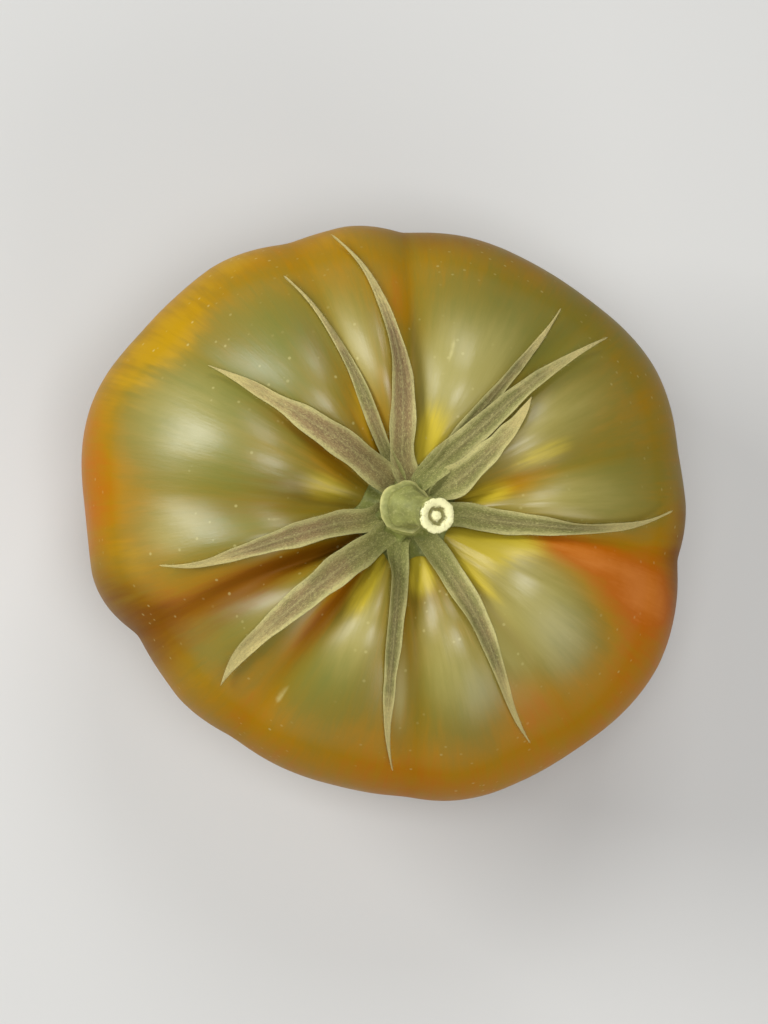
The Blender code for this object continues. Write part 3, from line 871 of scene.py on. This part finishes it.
def skin_material(colours):
    """Satin skin that turns from olive green to amber and orange."""
    paint = Paint("tomato_skin")
    place, grain = paint.place(), paint.attribute("grain", "Vector")
    broad = place.noise(75.0, detail=3.0, roughness=0.55) - 0.5
    mottle = place.noise(420.0, detail=3.0, roughness=0.6) - 0.5
    streaks = grain.noise(26.0, detail=3.0, roughness=0.6) - 0.5
    fine_streaks = grain.noise(95.0, detail=2.0, roughness=0.6) - 0.5
    line = paint.attribute("line")

    # The ripest skin has the fewest streaks
    ripeness = paint.attribute("ripeness")
    even = ripeness.between(0.7, 1.0, 1.0, 0.35)
    ripe = ripeness + (broad * 0.34 + streaks * 0.26 + fine_streaks * 0.12) * even + mottle * 0.10
    colour = paint.ramp(ripe, (
        (0.02, colours.green), (0.28, colours.olive), (0.52, colours.amber),
        (0.80, colours.orange), (1.00, colours.blush),
    ))
    gold = paint.attribute("gilding") * (streaks * 2.2 + broad * 1.8 + 0.9)
    # Painted sheen: pale khaki on the crests of the lobes
    pale = paint.attribute("paleness") * (streaks * 0.8 + broad * 0.8 + 0.95)
    yellow = paint.attribute("yellowing") * (streaks * 0.9 + broad * 0.8 + 0.9)
    # Painted shade along the grooves and on the rim, with the real brown of the scar's halo
    brown = line * 0.55 + paint.attribute("browning") * (streaks * 1.2 + 1.0)
    specks = paint.flecks(place, 620.0, 0.16) * broad.between(-0.08, 0.12)
    scuffed = paint.attribute("scuffing") * (mottle * 2.0 + 1.0)
    colour = paint.layered(
        colour,
        (gold.between(0.10, 0.75, 0.0, 0.85), colours.gold),
        (pale.between(0.0, 1.0, 0.0, 0.85), colours.sheen_khaki),
        (yellow.between(0.15, 0.95), colours.yellow),
        (brown.between(0.05, 1.0, 0.0, 0.8), colours.shade),
        (specks * 0.45, colours.fleck),
        (scuffed.between(0.2, 0.8, 0.0, 0.60), colours.fleck),
    )

    normal = paint.bump(place.noise(1500.0), 0.03 * MM, 0.30)
    normal = paint.bump(fine_streaks, 0.06 * MM, 0.25, normal)
    rough = mottle * 0.10 + broad * 0.08 + line * 0.20 + 0.36
    # The gloss fades where the skin turns away and in the grooves
    gloss = paint.edge_on().between(0.16, 0.50, 0.62, 0.02) * line.between(0.0, 0.5, 1.0, 0.15)
    paint.shader.inputs["Specular IOR Level"].default_value = 0.4
    put(paint.tree, paint.shader.inputs["Specular IOR Level"], gloss)
    return paint.finish(colour, rough, normal)


def drop_on(finder, azimuth, distance):
    """The point and outward normal of a surface, straight below a place."""
    angle = radians(azimuth)
    start = AXIS + Vector((distance * cos(angle), distance * sin(angle), ABOVE))
    spot, normal, _, _ = finder.ray_cast(start, Vector((0.0, 0.0, -1.0)))
    if spot is None:
        raise RuntimeError("nothing lies below a sepal")
    return spot, normal


def sepal_azimuth(sepal, along):
    """The azimuth on a curve through the sepal's three azimuths."""
    first = (1.0 - along) * (1.0 - 2.0 * along) * sepal.root
    second = 4.0 * along * (1.0 - along) * sepal.middle
    third = along * (2.0 * along - 1.0) * sepal.tip
    return first + second + third


def sepal_half_width(sepal, along, seed):
    """Lanceolate, with slightly uneven margins and a thread-like tip."""
    belly = 0.75 + 0.25 * sin(pi * min(1.6 * along, 1.0))
    width = sepal.half_width * belly * (1.0 - along ** sepal.fullness)
    width *= 1.0 + WIDTH_CHANGE * noise.noise(Vector((8.0 * along, seed, 0.0)))
    return max(width, SEPAL_THREAD * (1.0 - 0.5 * along))


def sepal_path(sepal, seed, finder, settings):
    """The centres, upward directions and half widths of a sepal laid over the skin."""
    centres, ups, widths = [], [], []
    for step in range(settings.stations):
        along = step / (settings.stations - 1)
        distance = SEPAL_ROOT + (sepal.length - SEPAL_ROOT) * along
        azimuth = sepal_azimuth(sepal, along)
        half_width = sepal_half_width(sepal, along, seed)
        turn = degrees(half_width / distance)
        middle, normal = drop_on(finder, azimuth, distance)
        left, left_normal = drop_on(finder, azimuth + turn, distance)
        right, right_normal = drop_on(finder, azimuth - turn, distance)
        up = (normal + left_normal + right_normal).normalized()
        fold_rise = settings.fold * half_width
        edge = max((left - middle).dot(up), (right - middle).dot(up)) - fold_rise
        lift = max(edge, 0.0) + SEPAL_CLEARANCE + sepal.raised * smooth_step(0.1, 0.3, along)
        lift += SEPAL_ROOT_LIFT * (1.0 - smooth_step(0.0, 0.25, along))
        centres.append(middle + up * lift)
        ups.append(up)
        widths.append(half_width)
    return centres, ups, widths


def smoothed(points, rounds):
    """Even out a line of points and keep its ends."""
    line = np.array(points)
    for _ in range(rounds):
        line[1:-1] = 0.25 * line[:-2] + 0.5 * line[1:-1] + 0.25 * line[2:]
    return line


def unit_rows(vectors):
    """Each row as a direction of length one."""
    return vectors / np.linalg.norm(vectors, axis=1)[:, None]


def sepal_source(sepal, seed, finder, settings):
    """The path of a sepal over the skin, with its measures stored on each point."""
    centres, ups, widths = sepal_path(sepal, seed, finder, settings)
    centres = smoothed(centres, PATH_SMOOTHING)
    tangents = np.gradient(centres, axis=0)
    sides = unit_rows(np.cross(smoothed(ups, DIRECTION_SMOOTHING), tangents))
    ups = unit_rows(np.cross(tangents, sides))
    share = np.linspace(0.0, 1.0, settings.stations)
    end = rising(share, SEPAL_CURL_START, 1.0)[:, None]
    centres = centres + sides * sepal.hook * end ** 2.2 + ups * sepal.curl * end ** 1.8
    taper = np.minimum(np.minimum(share / 0.02, (1.0 - share) / 0.012), 1.0) ** 0.5
    folds = []
    for track in (3.0, 8.0):
        wave = np.array([noise.noise(Vector((4.0 * at, seed, track))) for at in share])
        folds.append(np.maximum(settings.fold + FOLD_CHANGE * wave, LEAST_FOLD))
    return mesh_from("path", centres, side=sides, up=ups, centre=centres, taper=taper,
                     half_width=np.array(widths) * taper, fold_left=folds[0], fold_right=folds[1])


def blade_tree(sizes):
    """A folded blade swept along a path that carries its own measures."""
    blade = GeometryTree("Folded blade", sizes)
    section, stations = blade.value("Section"), blade.value("Stations") - 1.0
    sheet, column, row = blade.sheet(section, stations)
    angle = column / section * (2.0 * pi)
    across, above = angle.math("COSINE"), angle.math("SINE")
    spread = across.math("ABSOLUTE")
    half_width, thin = blade.sample("half_width", row), blade.sample("taper", row)
    on_left = across.math("GREATER_THAN", 0.0)
    fold = blade.sample("fold_left", row) * on_left + blade.sample("fold_right", row) * (1.0 - on_left)
    rise = (spread ** 1.6) * half_width * fold
    body = above * blade.value("Thickness") * 0.5 * (spread ** 3.0).between(0.0, 1.0, 1.0, 0.6)
    upper = above.between(0.0, 0.6)
    midrib = across.bell(MIDRIB_WIDTH) * blade.value("Midrib") * upper
    veins = (across * VEIN_CLOSENESS).math("COSINE") * blade.value("Veins") * upper
    wide_enough = half_width.between(0.3 * MM, 1.0 * MM)
    height = rise + body * thin + (midrib + veins) * thin * wide_enough
    sideways = blade.sample("side", row, "FLOAT_VECTOR").scaled(across * half_width)
    upward = blade.sample("up", row, "FLOAT_VECTOR").scaled(height)
    spot = blade.sample("centre", row, "FLOAT_VECTOR").plus(sideways.plus(upward))
    geometry = blade.store(sheet, {
        "across": across, "along": row / stations, "tint": blade.value("Tint"),
        "hairiness": spread.between(0.90, 0.99) * blade.value("Fringe") + 1.0,
    })
    return blade.end(blade.weld(blade.place(geometry, spot), FINE_SEAM))


def sepal_material(colours):
    """Dry, veined blades with pale margins, straw tips and painted shade along their trough."""
    paint = Paint("sepal")
    place = paint.place()
    across, along, tint = (paint.attribute(title) for title in ("across", "along", "tint"))
    spread = across.math("ABSOLUTE")
    lengthwise = join(across * 3.0, along * 2.5, tint * 9.0)
    patchy = place.noise(260.0, detail=3.0, roughness=0.6) - 0.5
    veins = lengthwise.noise(4.5, detail=3.0, roughness=0.65) - 0.5
    crumbs = lengthwise.stretched((1.0, 6.0, 1.0)).noise(7.0, detail=3.0, roughness=0.7)
    fuzz = place.noise(2600.0)

    brown = tint + patchy * 1.1 + veins * 0.7 + (along - 0.35) * 0.45
    # Painted shade: the middle of each blade, along its trough, is darkened
    trough_shade = spread + patchy * 0.7
    margin = spread + patchy * 0.60 + veins * 0.3
    rib = across.bell(0.08) * along.between(0.05, 0.2)
    dry_tip = along + patchy * 0.35 + veins * 0.2
    root = along.between(0.34, 0.06) * tint.between(1.0, 0.3, 0.35, 1.0)
    colour = paint.layered(
        paint.mix(brown.between(0.15, 0.85), colours.green, colours.brown),
        (trough_shade.between(0.60, 0.10, 0.0, 0.40), shaded(colours.brown, 0.55)),
        (margin.between(0.50, 0.95, 0.0, 0.85), colours.edge),
        (rib * 0.25, colours.edge),
        (dry_tip.between(0.55, 0.92), colours.tip),
        (root * 0.80, colours.hub),
        (crumbs.between(0.50, 0.34, 0.0, 0.50), shaded(colours.brown, 0.42)),
        (crumbs.between(0.52, 0.68, 0.0, 0.60), colours.edge),
        (fuzz.between(0.55, 0.75, 0.0, 0.35), colours.hair),
    )
    normal = paint.bump(fuzz, 0.08 * MM, 0.6)
    normal = paint.bump(crumbs, 0.25 * MM, 0.7, normal)
    return paint.finish(colour, patchy * 0.15 + 0.68, normal)


def hub_height_at(azimuth, distance, settings):
    """The hub's height above the skin: a fillet round the stem, ribs and webs."""
    swell = settings.hub_height * exp(-((distance / HUB_REACH) ** 3))
    fillet = FILLET_HEIGHT * exp(-max(distance - FILLET_START, 0.0) / FILLET_WIDTH)
    rib = 0.0
    for sepal in SEPALS:
        turn = radians(turn_from(sepal.root, azimuth))
        rib += exp(-((turn * distance / RIB_WIDTH) ** 2))
    angle = radians(azimuth)
    grain = noise.noise(Vector((4.0 * cos(angle), 4.0 * sin(angle), 900.0 * distance)))
    return swell * HUB_DOME + fillet + RIB_HEIGHT * min(rib, RIB_LIMIT) + HUB_GRAIN * grain


def hub_radius_at(azimuth):
    """The hub reaches further along each sepal than between them."""
    turns = [turn_from(sepal.root, azimuth) for sepal in SEPALS]
    return HUB_REACH + HUB_WEB * max(exp(-((turn / HUB_WEB_SPREAD) ** 2)) for turn in turns)


def hub_mesh(finder, settings):
    """The webbed disc that joins the sepals, closed below just above the skin."""
    middle, _ = drop_on(finder, 0.0, 0.01 * MM)
    top = [middle + Vector((0.0, 0.0, settings.hub_height))]
    under = []
    for ring in range(1, HUB_RINGS + 1):
        share = ring / HUB_RINGS
        blend = smooth_step(0.35, 0.75, share)
        for side in range(HUB_SIDES):
            azimuth = 360.0 * side / HUB_SIDES
            distance = share * hub_radius_at(azimuth)
            skin, _ = drop_on(finder, azimuth, distance)
            floor = skin.z + HUB_CLEARANCE
            height = hub_height_at(azimuth, distance, settings) * (1.0 - share ** 6)
            level = (middle.z + height) * (1.0 - blend) + (floor + height * HUB_DRAPE) * blend
            level = max(level, floor + HUB_LEAST_THICKNESS) if ring < HUB_RINGS else floor
            top.append(Vector((skin.x, skin.y, level)))
            under.append(Vector((skin.x, skin.y, floor - HUB_SKIRT)))
    points = top + under + [middle + Vector((0.0, 0.0, HUB_CLEARANCE))]
    outer, rim = len(top) - HUB_SIDES, len(points) - 1 - HUB_SIDES
    faces = []
    for side in range(HUB_SIDES):
        faces += sector_faces(0, 1, side, HUB_SIDES, HUB_RINGS)
    for side in range(HUB_SIDES):
        after = (side + 1) % HUB_SIDES
        faces += turned_over(sector_faces(len(points) - 1, len(top), side, HUB_SIDES, HUB_RINGS))
        faces.append((outer + side, rim + side, rim + after, outer + after))
    return mesh_from("calyx_hub", points, faces)


def green_stalk_material(name, colour, pale, collar=None):
    """Hairy green stalk with darker and paler flecks, and a pale collar on the knuckle that is partly a
    painted highlight.
    """
    paint = Paint(name)
    place = paint.place()
    patchy = place.noise(420.0, detail=3.0, roughness=0.6)
    fuzz = place.noise(2400.0)
    mixed = paint.mix(patchy.between(0.35, 0.68), shaded(colour, 0.72), colour)
    mixed = paint.mix(fuzz.between(0.52, 0.72, 0.0, 0.3), mixed, pale)
    if collar is not None:
        # The pale band round the collar is partly a painted highlight
        band = (paint.attribute("along") - collar.place).bell(PALE_BAND)
        band = band * patchy.between(0.30, 0.60, 0.35, 1.0)
        mixed = paint.mix(band * 0.90, mixed, shaded(pale, 1.35))
    normal = paint.bump(fuzz, 0.10 * MM, 0.7)
    normal = paint.bump(patchy, 0.30 * MM, 0.5, normal)
    return paint.finish(mixed, patchy * 0.2 + 0.55, normal)


def stem_disc(ring, settings):
    """Where a ring of the stem stands and which way it faces."""
    lean = Vector((cos(settings.azimuth), sin(settings.azimuth), 0.0))
    tilt = radians(ring.tilt)
    upward = Vector((0.0, 0.0, cos(tilt))) + lean * sin(tilt)
    side = upward.cross(lean).normalized()
    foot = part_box("pedicel")[0].z
    centre = AXIS + lean * ring.lean + Vector((0.0, 0.0, foot + ring.height))
    return Disc(centre, side.cross(upward), side, upward)


def curve_through(before, start, end, after, share):
    """A value read smoothly between two others, with one more known on each side."""
    return 0.5 * (2 * start + (end - before) * share
                  + (2 * before - 5 * start + 4 * end - after) * share ** 2
                  + (3 * start - before - 3 * end + after) * share ** 3)


def stem_ring_at(share):
    """A ring read smoothly between the stem's own rings."""
    last = len(STEM_RINGS) - 1
    span = share * last
    index = min(int(span), last - 1)
    near = (STEM_RINGS[min(max(index + step, 0), last)] for step in (-1, 0, 1, 2))
    return Ring(*(curve_through(*values, span - index) for values in zip(*near)))


def stem_source(settings):
    """The stem's path, from inside the hub to just below the cut."""
    discs, radii = [], []
    for step in range(STEM_STATIONS):
        share = step / (STEM_STATIONS - 1)
        ring = stem_ring_at(share)
        disc = stem_disc(ring, settings)
        if step == 0:
            disc = disc._replace(centre=disc.centre - disc.upward * FOOT_DEPTH)
        if step >= STEM_STATIONS - 2:
            disc = disc._replace(centre=disc.centre - disc.upward * CUT_DEPTH)
        change = STEM_UNEVENNESS * noise.noise(Vector((14.0 * share, 2.0, 0.0)))
        for band in (COLLAR, CREASE):
            change += band.change * exp(-(((share - band.place) / band.width) ** 2))
        closed = step in (0, STEM_STATIONS - 1)
        discs.append(disc)
        radii.append(0.0 if closed else ring.radius * (1.0 + change))
    centres, fronts, sides, _ = zip(*discs)
    return mesh_from("stem_path", centres, side=sides, up=fronts, centre=centres, radius=radii)


def stalk_tree(sizes):
    """A ribbed round stalk swept along a path that carries its own radius."""
    stalk = GeometryTree("Ribbed stalk", sizes)
    section, stations = stalk.value("Section"), stalk.value("Stations") - 1.0
    sheet, column, row = stalk.sheet(section, stations)
    along = row / stations
    angle = column / section * (2.0 * pi)
    turned = angle * stalk.value("Ribs") + along * STEM_TWIST
    ridge = turned.math("COSINE") * stalk.value("Rib Depth")
    radius = stalk.sample("radius", row) * (ridge + 1.0)
    sideways = stalk.sample("side", row, "FLOAT_VECTOR").scaled(angle.math("COSINE") * radius)
    frontways = stalk.sample("up", row, "FLOAT_VECTOR").scaled(angle.math("SINE") * radius)
    spot = stalk.sample("centre", row, "FLOAT_VECTOR").plus(sideways.plus(frontways))
    geometry = stalk.place(stalk.store(sheet, {"along": along}), spot)
    geometry = stalk.weld(geometry, FINE_SEAM)
    rough = stalk.position().noise(STEM_ROUGHNESS_CLOSENESS, detail=3.0, roughness=0.6) - 0.5
    return stalk.end(stalk.shift(geometry, stalk.normal().scaled(rough * STEM_ROUGHNESS)))


def turned_mesh(turned, disc):
    """A slightly uneven disc turned from a profile, closed in the middle and below."""
    points, grain = [], []
    for radius, height in turned.profile:
        for step in range(turned.sides):
            angle = 2.0 * pi * step / turned.sides
            x, y = cos(angle), sin(angle)
            bump = noise.noise(Vector((2.2 * x, 2.2 * y, turned.seed + 0.9 * radius)))
            bump += 0.6 * noise.noise(Vector((7.0 * x, 7.0 * y, turned.seed + 0.5 * radius)))
            grown = radius * MM * (1.0 + turned.unevenness * bump)
            rise = height * MM + 0.9 * turned.unevenness * MM * bump
            points.append(disc.centre + (disc.front * x + disc.side * y) * grown + disc.upward * rise)
            grain.append((x, y, 0.15 * radius))
    top, bottom, inner = len(points), len(points) + 1, len(points) - turned.sides
    (outer_radius, lowest), (_, highest) = turned.profile[0], turned.profile[-1]
    points += [disc.centre + disc.upward * highest * MM, disc.centre + disc.upward * lowest * MM]
    faces = []
    for side in range(turned.sides):
        faces += sector_faces(bottom, 0, side, turned.sides, len(turned.profile))
        faces.append((inner + side, top, inner + (side + 1) % turned.sides))
    radial = [radius for radius, _ in turned.profile for _ in range(turned.sides)] + [0.0, outer_radius]
    return mesh_from(turned.name, points, faces, radial=radial, grain=grain + [(0.0, 0.0, 0.0)] * 2)


def cut_material(colours):
    """A moist pale ring, a dark hollow and the pith in its middle."""
    paint = Paint("cut_end")
    place = paint.place()
    radial = paint.attribute("radial") + (place.noise(1100.0, detail=3.0, roughness=0.6) - 0.5) * 1.2
    colour = paint.ramp(radial * 0.4, (
        (0.00, colours.cut), (0.19, colours.cut), (0.27, colours.pith), (0.41, colours.pith),
        (0.50, colours.cut), (0.83, colours.cut), (0.866, colours.green),
    ))
    fibres = place.noise(2600.0)
    colour = paint.mix(fibres.between(0.5, 0.8, 0.0, 0.35), colour, colours.cork)
    return paint.finish(colour, fibres * 0.2 + 0.35, paint.bump(fibres, 0.06 * MM, 0.6))


def scar_material(colours):
    """Rough brown cork with radial cracks."""
    paint = Paint("blossom_scar")
    place = paint.place()
    coarse = place.noise(900.0, detail=4.0, roughness=0.7)
    cracks = paint.attribute("grain", "Vector").noise(7.0, detail=4.0, roughness=0.7)
    fine = place.noise(3200.0, detail=3.0, roughness=0.6)
    sound = (coarse * 0.4 + cracks * 0.6).between(0.38, 0.52)
    colour = paint.mix(sound, shaded(colours.cork, 0.30), colours.cork)
    colour = paint.mix(fine.between(0.50, 0.75, 0.0, 0.6), colour, shaded(colours.cork, 1.7))
    return paint.finish(colour, fine * 0.2 + 0.7, paint.bump(cracks, 0.6 * MM, 0.9))


def hair_tree(sizes):
    """Fine hairs scattered over a surface, each leaning its own way."""
    hairs = GeometryTree("Fine hairs", sizes)
    tree, seed = hairs.tree, hairs.value("Seed")
    scatter = new_node(tree, "GeometryNodeDistributePointsOnFaces", {
        "Mesh": hairs.source, "Density": hairs.value("Density") * hairs.named("hairiness"), "Seed": seed,
    }, distribute_method="RANDOM")
    lean = new_field(tree, "FunctionNodeRandomValue", "Value", {
        "Min": (-1.0, -1.0, -0.4), "Max": (1.0, 1.0, 1.0), "Seed": seed,
    }, data_type="FLOAT_VECTOR")
    facing = Field(tree, scatter.outputs["Normal"]).plus(lean.scaled(hairs.value("Lean")))
    turn = new_field(
        tree, "FunctionNodeAlignRotationToVector", "Rotation", {"Vector": facing}, axis="Z")
    cone = new_field(tree, "GeometryNodeMeshCone", "Mesh", {
        "Vertices": 3, "Side Segments": 1, "Radius Top": 0.0,
        "Radius Bottom": hairs.value("Hair Radius"), "Depth": hairs.value("Hair Length"),
    }, fill_type="NONE")
    # Sockets 2 and 3 are the least and the greatest of the plain numbers
    size = new_field(tree, "FunctionNodeRandomValue", 1, {2: 0.45, 3: 1.0, "Seed": seed}, data_type="FLOAT")
    planted = new_field(tree, "GeometryNodeInstanceOnPoints", "Instances", {
        "Points": Field(tree, scatter.outputs["Points"]), "Instance": cone,
        "Rotation": turn, "Scale": size,
    })
    return hairs.end(planted, smooth=False)


def hair_material(colour):
    paint = Paint("fine_hair")
    shade = paint.place().noise(800.0)
    mixed = paint.mix(shade.between(0.3, 0.7), shaded(colour, 0.6), colour)
    return paint.finish(mixed, shade * 0.2 + 0.45)


def grow_hairs(name, sources, slot, density, settings, seed):
    """Cover finished pieces with hairs."""
    meshes = [bpy.data.objects[source].data for source in sources]
    hairiness = np.concatenate([
        read_from(mesh, "hairiness") if "hairiness" in mesh.attributes else np.ones(len(mesh.vertices))
        for mesh in meshes
    ])
    roots = mesh_from("hair_roots", *points_and_faces(*sources), hairiness=hairiness)
    sizes = sizes_from(settings, "hair_length", "hair_radius")
    sizes |= {"Density": density, "Lean": HAIR_LEAN, "Seed": seed}
    finish_piece(grow(name, roots, hair_tree, sizes, hair_material(settings.hair)), slot)


def floor_material(colour):
    paint = Paint("studio_floor")
    cloud = paint.place().noise(9.0)
    return paint.finish(paint.mix(cloud, shaded(colour, 0.97), colour), 0.8)


def add_light(light, power):
    """A soft rectangular light that points at the fruit."""
    lamp = bpy.data.lights.new(light.name, "AREA")
    lamp.shape = "RECTANGLE"
    lamp.size, lamp.size_y = light.size
    lamp.energy = power
    lamp.color = light.colour
    item = bpy.data.objects.new(light.name, lamp)
    item.location = light.place
    item.rotation_euler = (LIT_POINT - Vector(light.place)).to_track_quat("-Z", "Y").to_euler()
    bpy.context.scene.collection.objects.link(item)


def add_camera(target, settings):
    """A camera that looks down on the fruit, with the picture's top towards the far side."""
    lens = bpy.data.cameras.new("camera")
    lens.sensor_fit = "AUTO"
    lens.lens = lens.sensor_width * settings.view_distance / (settings.field_width * PICTURE_RATIO)
    lens.clip_start = 0.01
    view = TOWARDS_CAMERA.normalized()
    right = Vector((0.0, 1.0, 0.0)).cross(view).normalized()
    camera = bpy.data.objects.new("camera", lens)
    camera.location = target + view * settings.view_distance
    camera.rotation_euler = Matrix((right, view.cross(right), view)).transposed().to_euler()
    bpy.context.scene.collection.objects.link(camera)
    bpy.context.scene.camera = camera


class TOMATO_OT_fruit(bpy.types.Operator):
    """Grow the lobed fruit and paint its skin"""
    bl_idname = "tomato.fruit"
    bl_label = "Fruit"

    def execute(self, context):
        settings = context.scene.tomato_fruit
        sizes = sizes_from(
            settings, "rows", "equator_height", "shoulder_rise", "base_drop", "shoulder_fullness",
            "base_fullness", "cavity_depth", "cavity_width", "blossom_dimple", "groove_depth",
            "groove_start", "equator_groove", "unevenness", "fine_ribs",
        )
        sizes |= {"Columns": settings.columns * len(LOBES), "Axis X": AXIS.x, "Axis Y": AXIS.y}
        skin = grow("fruit_skin", rim_source(settings), lobed_body_tree, sizes, skin_material(settings))
        mark_skin(skin.data)
        finish_piece(skin, "skin", "fruit")
        return {"FINISHED"}


class TOMATO_OT_calyx(bpy.types.Operator):
    """Lay the sepals on the fruit and join them with their hub"""
    bl_idname = "tomato.calyx"
    bl_label = "Calyx"

    def execute(self, context):
        settings = context.scene.tomato_calyx
        finder = BVHTree.FromPolygons(*points_and_faces("fruit_skin"))
        paint = sepal_material(settings)
        sizes = sizes_from(settings, "stations", "section", "thickness", "midrib", "veins", "fringe")
        for index, sepal in enumerate(SEPALS):
            source = sepal_source(sepal, SEED_STEP * index, finder, settings)
            sizes["Tint"] = sepal.dryness
            blade = grow(f"sepal_{index + 1:02d}", source, blade_tree, sizes, paint)
            turn_outward(blade.data)
            finish_piece(blade, "sepal", "calyx")
        green = green_stalk_material("hub_green", settings.hub, settings.hair)
        add_closed_piece(hub_mesh(finder, settings), green, "sepal", "calyx")
        return {"FINISHED"}


class TOMATO_OT_stem(bpy.types.Operator):
    """Raise the stem with its knuckle and pale cut end"""
    bl_idname = "tomato.stem"
    bl_label = "Stem"

    def execute(self, context):
        settings = context.scene.tomato_stem
        pale = context.scene.tomato_calyx.hair
        sizes = sizes_from(settings, "ribs", "rib_depth")
        sizes |= {"Stations": STEM_STATIONS, "Section": STEM_SECTION}
        green = green_stalk_material("stem_green", settings.green, pale, COLLAR)
        stem = grow("stem_stub", stem_source(settings), stalk_tree, sizes, green)
        turn_outward(stem.data)
        finish_piece(stem, "stem", "pedicel")
        end = turned_mesh(CUT_END, stem_disc(STEM_RINGS[-1], settings))
        add_closed_piece(end, cut_material(settings), "stem", "pedicel")
        return {"FINISHED"}


class TOMATO_OT_scar(bpy.types.Operator):
    """Set the corky blossom scar into the base"""
    bl_idname = "tomato.scar"
    bl_label = "Blossom scar"

    def execute(self, context):
        centre = AXIS + Vector((0.0, 0.0, SCAR_HEIGHT))
        disc = Disc(centre, Vector((1.0, 0.0, 0.0)), Vector((0.0, -1.0, 0.0)), Vector((0.0, 0.0, -1.0)))
        add_closed_piece(turned_mesh(BLOSSOM_SCAR, disc), scar_material(context.scene.tomato_stem), "skin")
        return {"FINISHED"}


class TOMATO_OT_hairs(bpy.types.Operator):
    """Grow fine hairs on the sepals, the hub and the stem"""
    bl_idname = "tomato.hairs"
    bl_label = "Hairs"

    def execute(self, context):
        settings = context.scene.tomato_calyx
        density = settings.hair_density
        sepals = [f"sepal_{index + 1:02d}" for index in range(len(SEPALS))]
        grow_hairs("sepal_hairs", sepals, "sepal", density, settings, seed=11)
        grow_hairs("hub_hairs", ["calyx_hub"], "sepal", density, settings, seed=12)
        grow_hairs("stem_hairs", ["stem_stub"], "stem", STEM_HAIRINESS * density, settings, seed=13)
        return {"FINISHED"}


class TOMATO_OT_stage(bpy.types.Operator):
    """Set the floor, the soft lights and the camera"""
    bl_idname = "tomato.stage"
    bl_label = "Stage"

    def execute(self, context):
        settings = context.scene.tomato_stage
        half, low = FLOOR_HALF_WIDTH, -FLOOR_GAP
        corners = [(-half, -half, low), (half, -half, low), (half, half, low), (-half, half, low)]
        sheet = mesh_from("floor", corners, [(0, 1, 2, 3)])
        floor = add_object(sheet, floor_material(settings.floor_colour))
        world = context.scene.world or bpy.data.worlds.new("studio")
        context.scene.world = world
        world.use_nodes = True
        background = world.node_tree.nodes["Background"]
        background.inputs["Color"].default_value = SKY_COLOUR
        background.inputs["Strength"].default_value = settings.sky
        for light in LIGHTS:
            add_light(light, getattr(settings, f"{light.name}_power"))
        add_camera(Vector((0.0, 0.0, context.scene.tomato_fruit.equator_height)), settings)
        return {"FINISHED"}


class TOMATO_PT_panel(bpy.types.Panel):
    """Lists the tomato's operators"""
    bl_idname = "TOMATO_PT_panel"
    bl_label = "Ribbed Tomato"
    bl_space_type = "VIEW_3D"
    bl_region_type = "UI"
    bl_category = "Tomato"

    def draw(self, context):
        for operator in OPERATORS:
            self.layout.operator(operator.bl_idname)


SETTINGS = {
    "tomato_fruit": TOMATO_fruit_settings,
    "tomato_calyx": TOMATO_calyx_settings,
    "tomato_stem": TOMATO_stem_settings,
    "tomato_stage": TOMATO_stage_settings,
}
OPERATORS = (
    TOMATO_OT_fruit, TOMATO_OT_calyx, TOMATO_OT_stem, TOMATO_OT_scar, TOMATO_OT_hairs, TOMATO_OT_stage,
)


def register():
    for settings in SETTINGS.values():
        bpy.utils.register_class(settings)
    for name, settings in SETTINGS.items():
        setattr(bpy.types.Scene, name, PointerProperty(type=settings))
    for operator in OPERATORS:
        bpy.utils.register_class(operator)
    bpy.utils.register_class(TOMATO_PT_panel)


def unregister():
    bpy.utils.unregister_class(TOMATO_PT_panel)
    for operator in reversed(OPERATORS):
        bpy.utils.unregister_class(operator)
    for name in SETTINGS:
        delattr(bpy.types.Scene, name)
    for settings in reversed(SETTINGS.values()):
        bpy.utils.unregister_class(settings)


def main():
    register()
    bpy.context.scene.view_settings.view_transform = "Standard"
    bpy.ops.tomato.fruit()
    bpy.ops.tomato.calyx()
    bpy.ops.tomato.stem()
    bpy.ops.tomato.scar()
    bpy.ops.tomato.hairs()
    bpy.ops.tomato.stage()


if __name__ == "__main__":
    main()
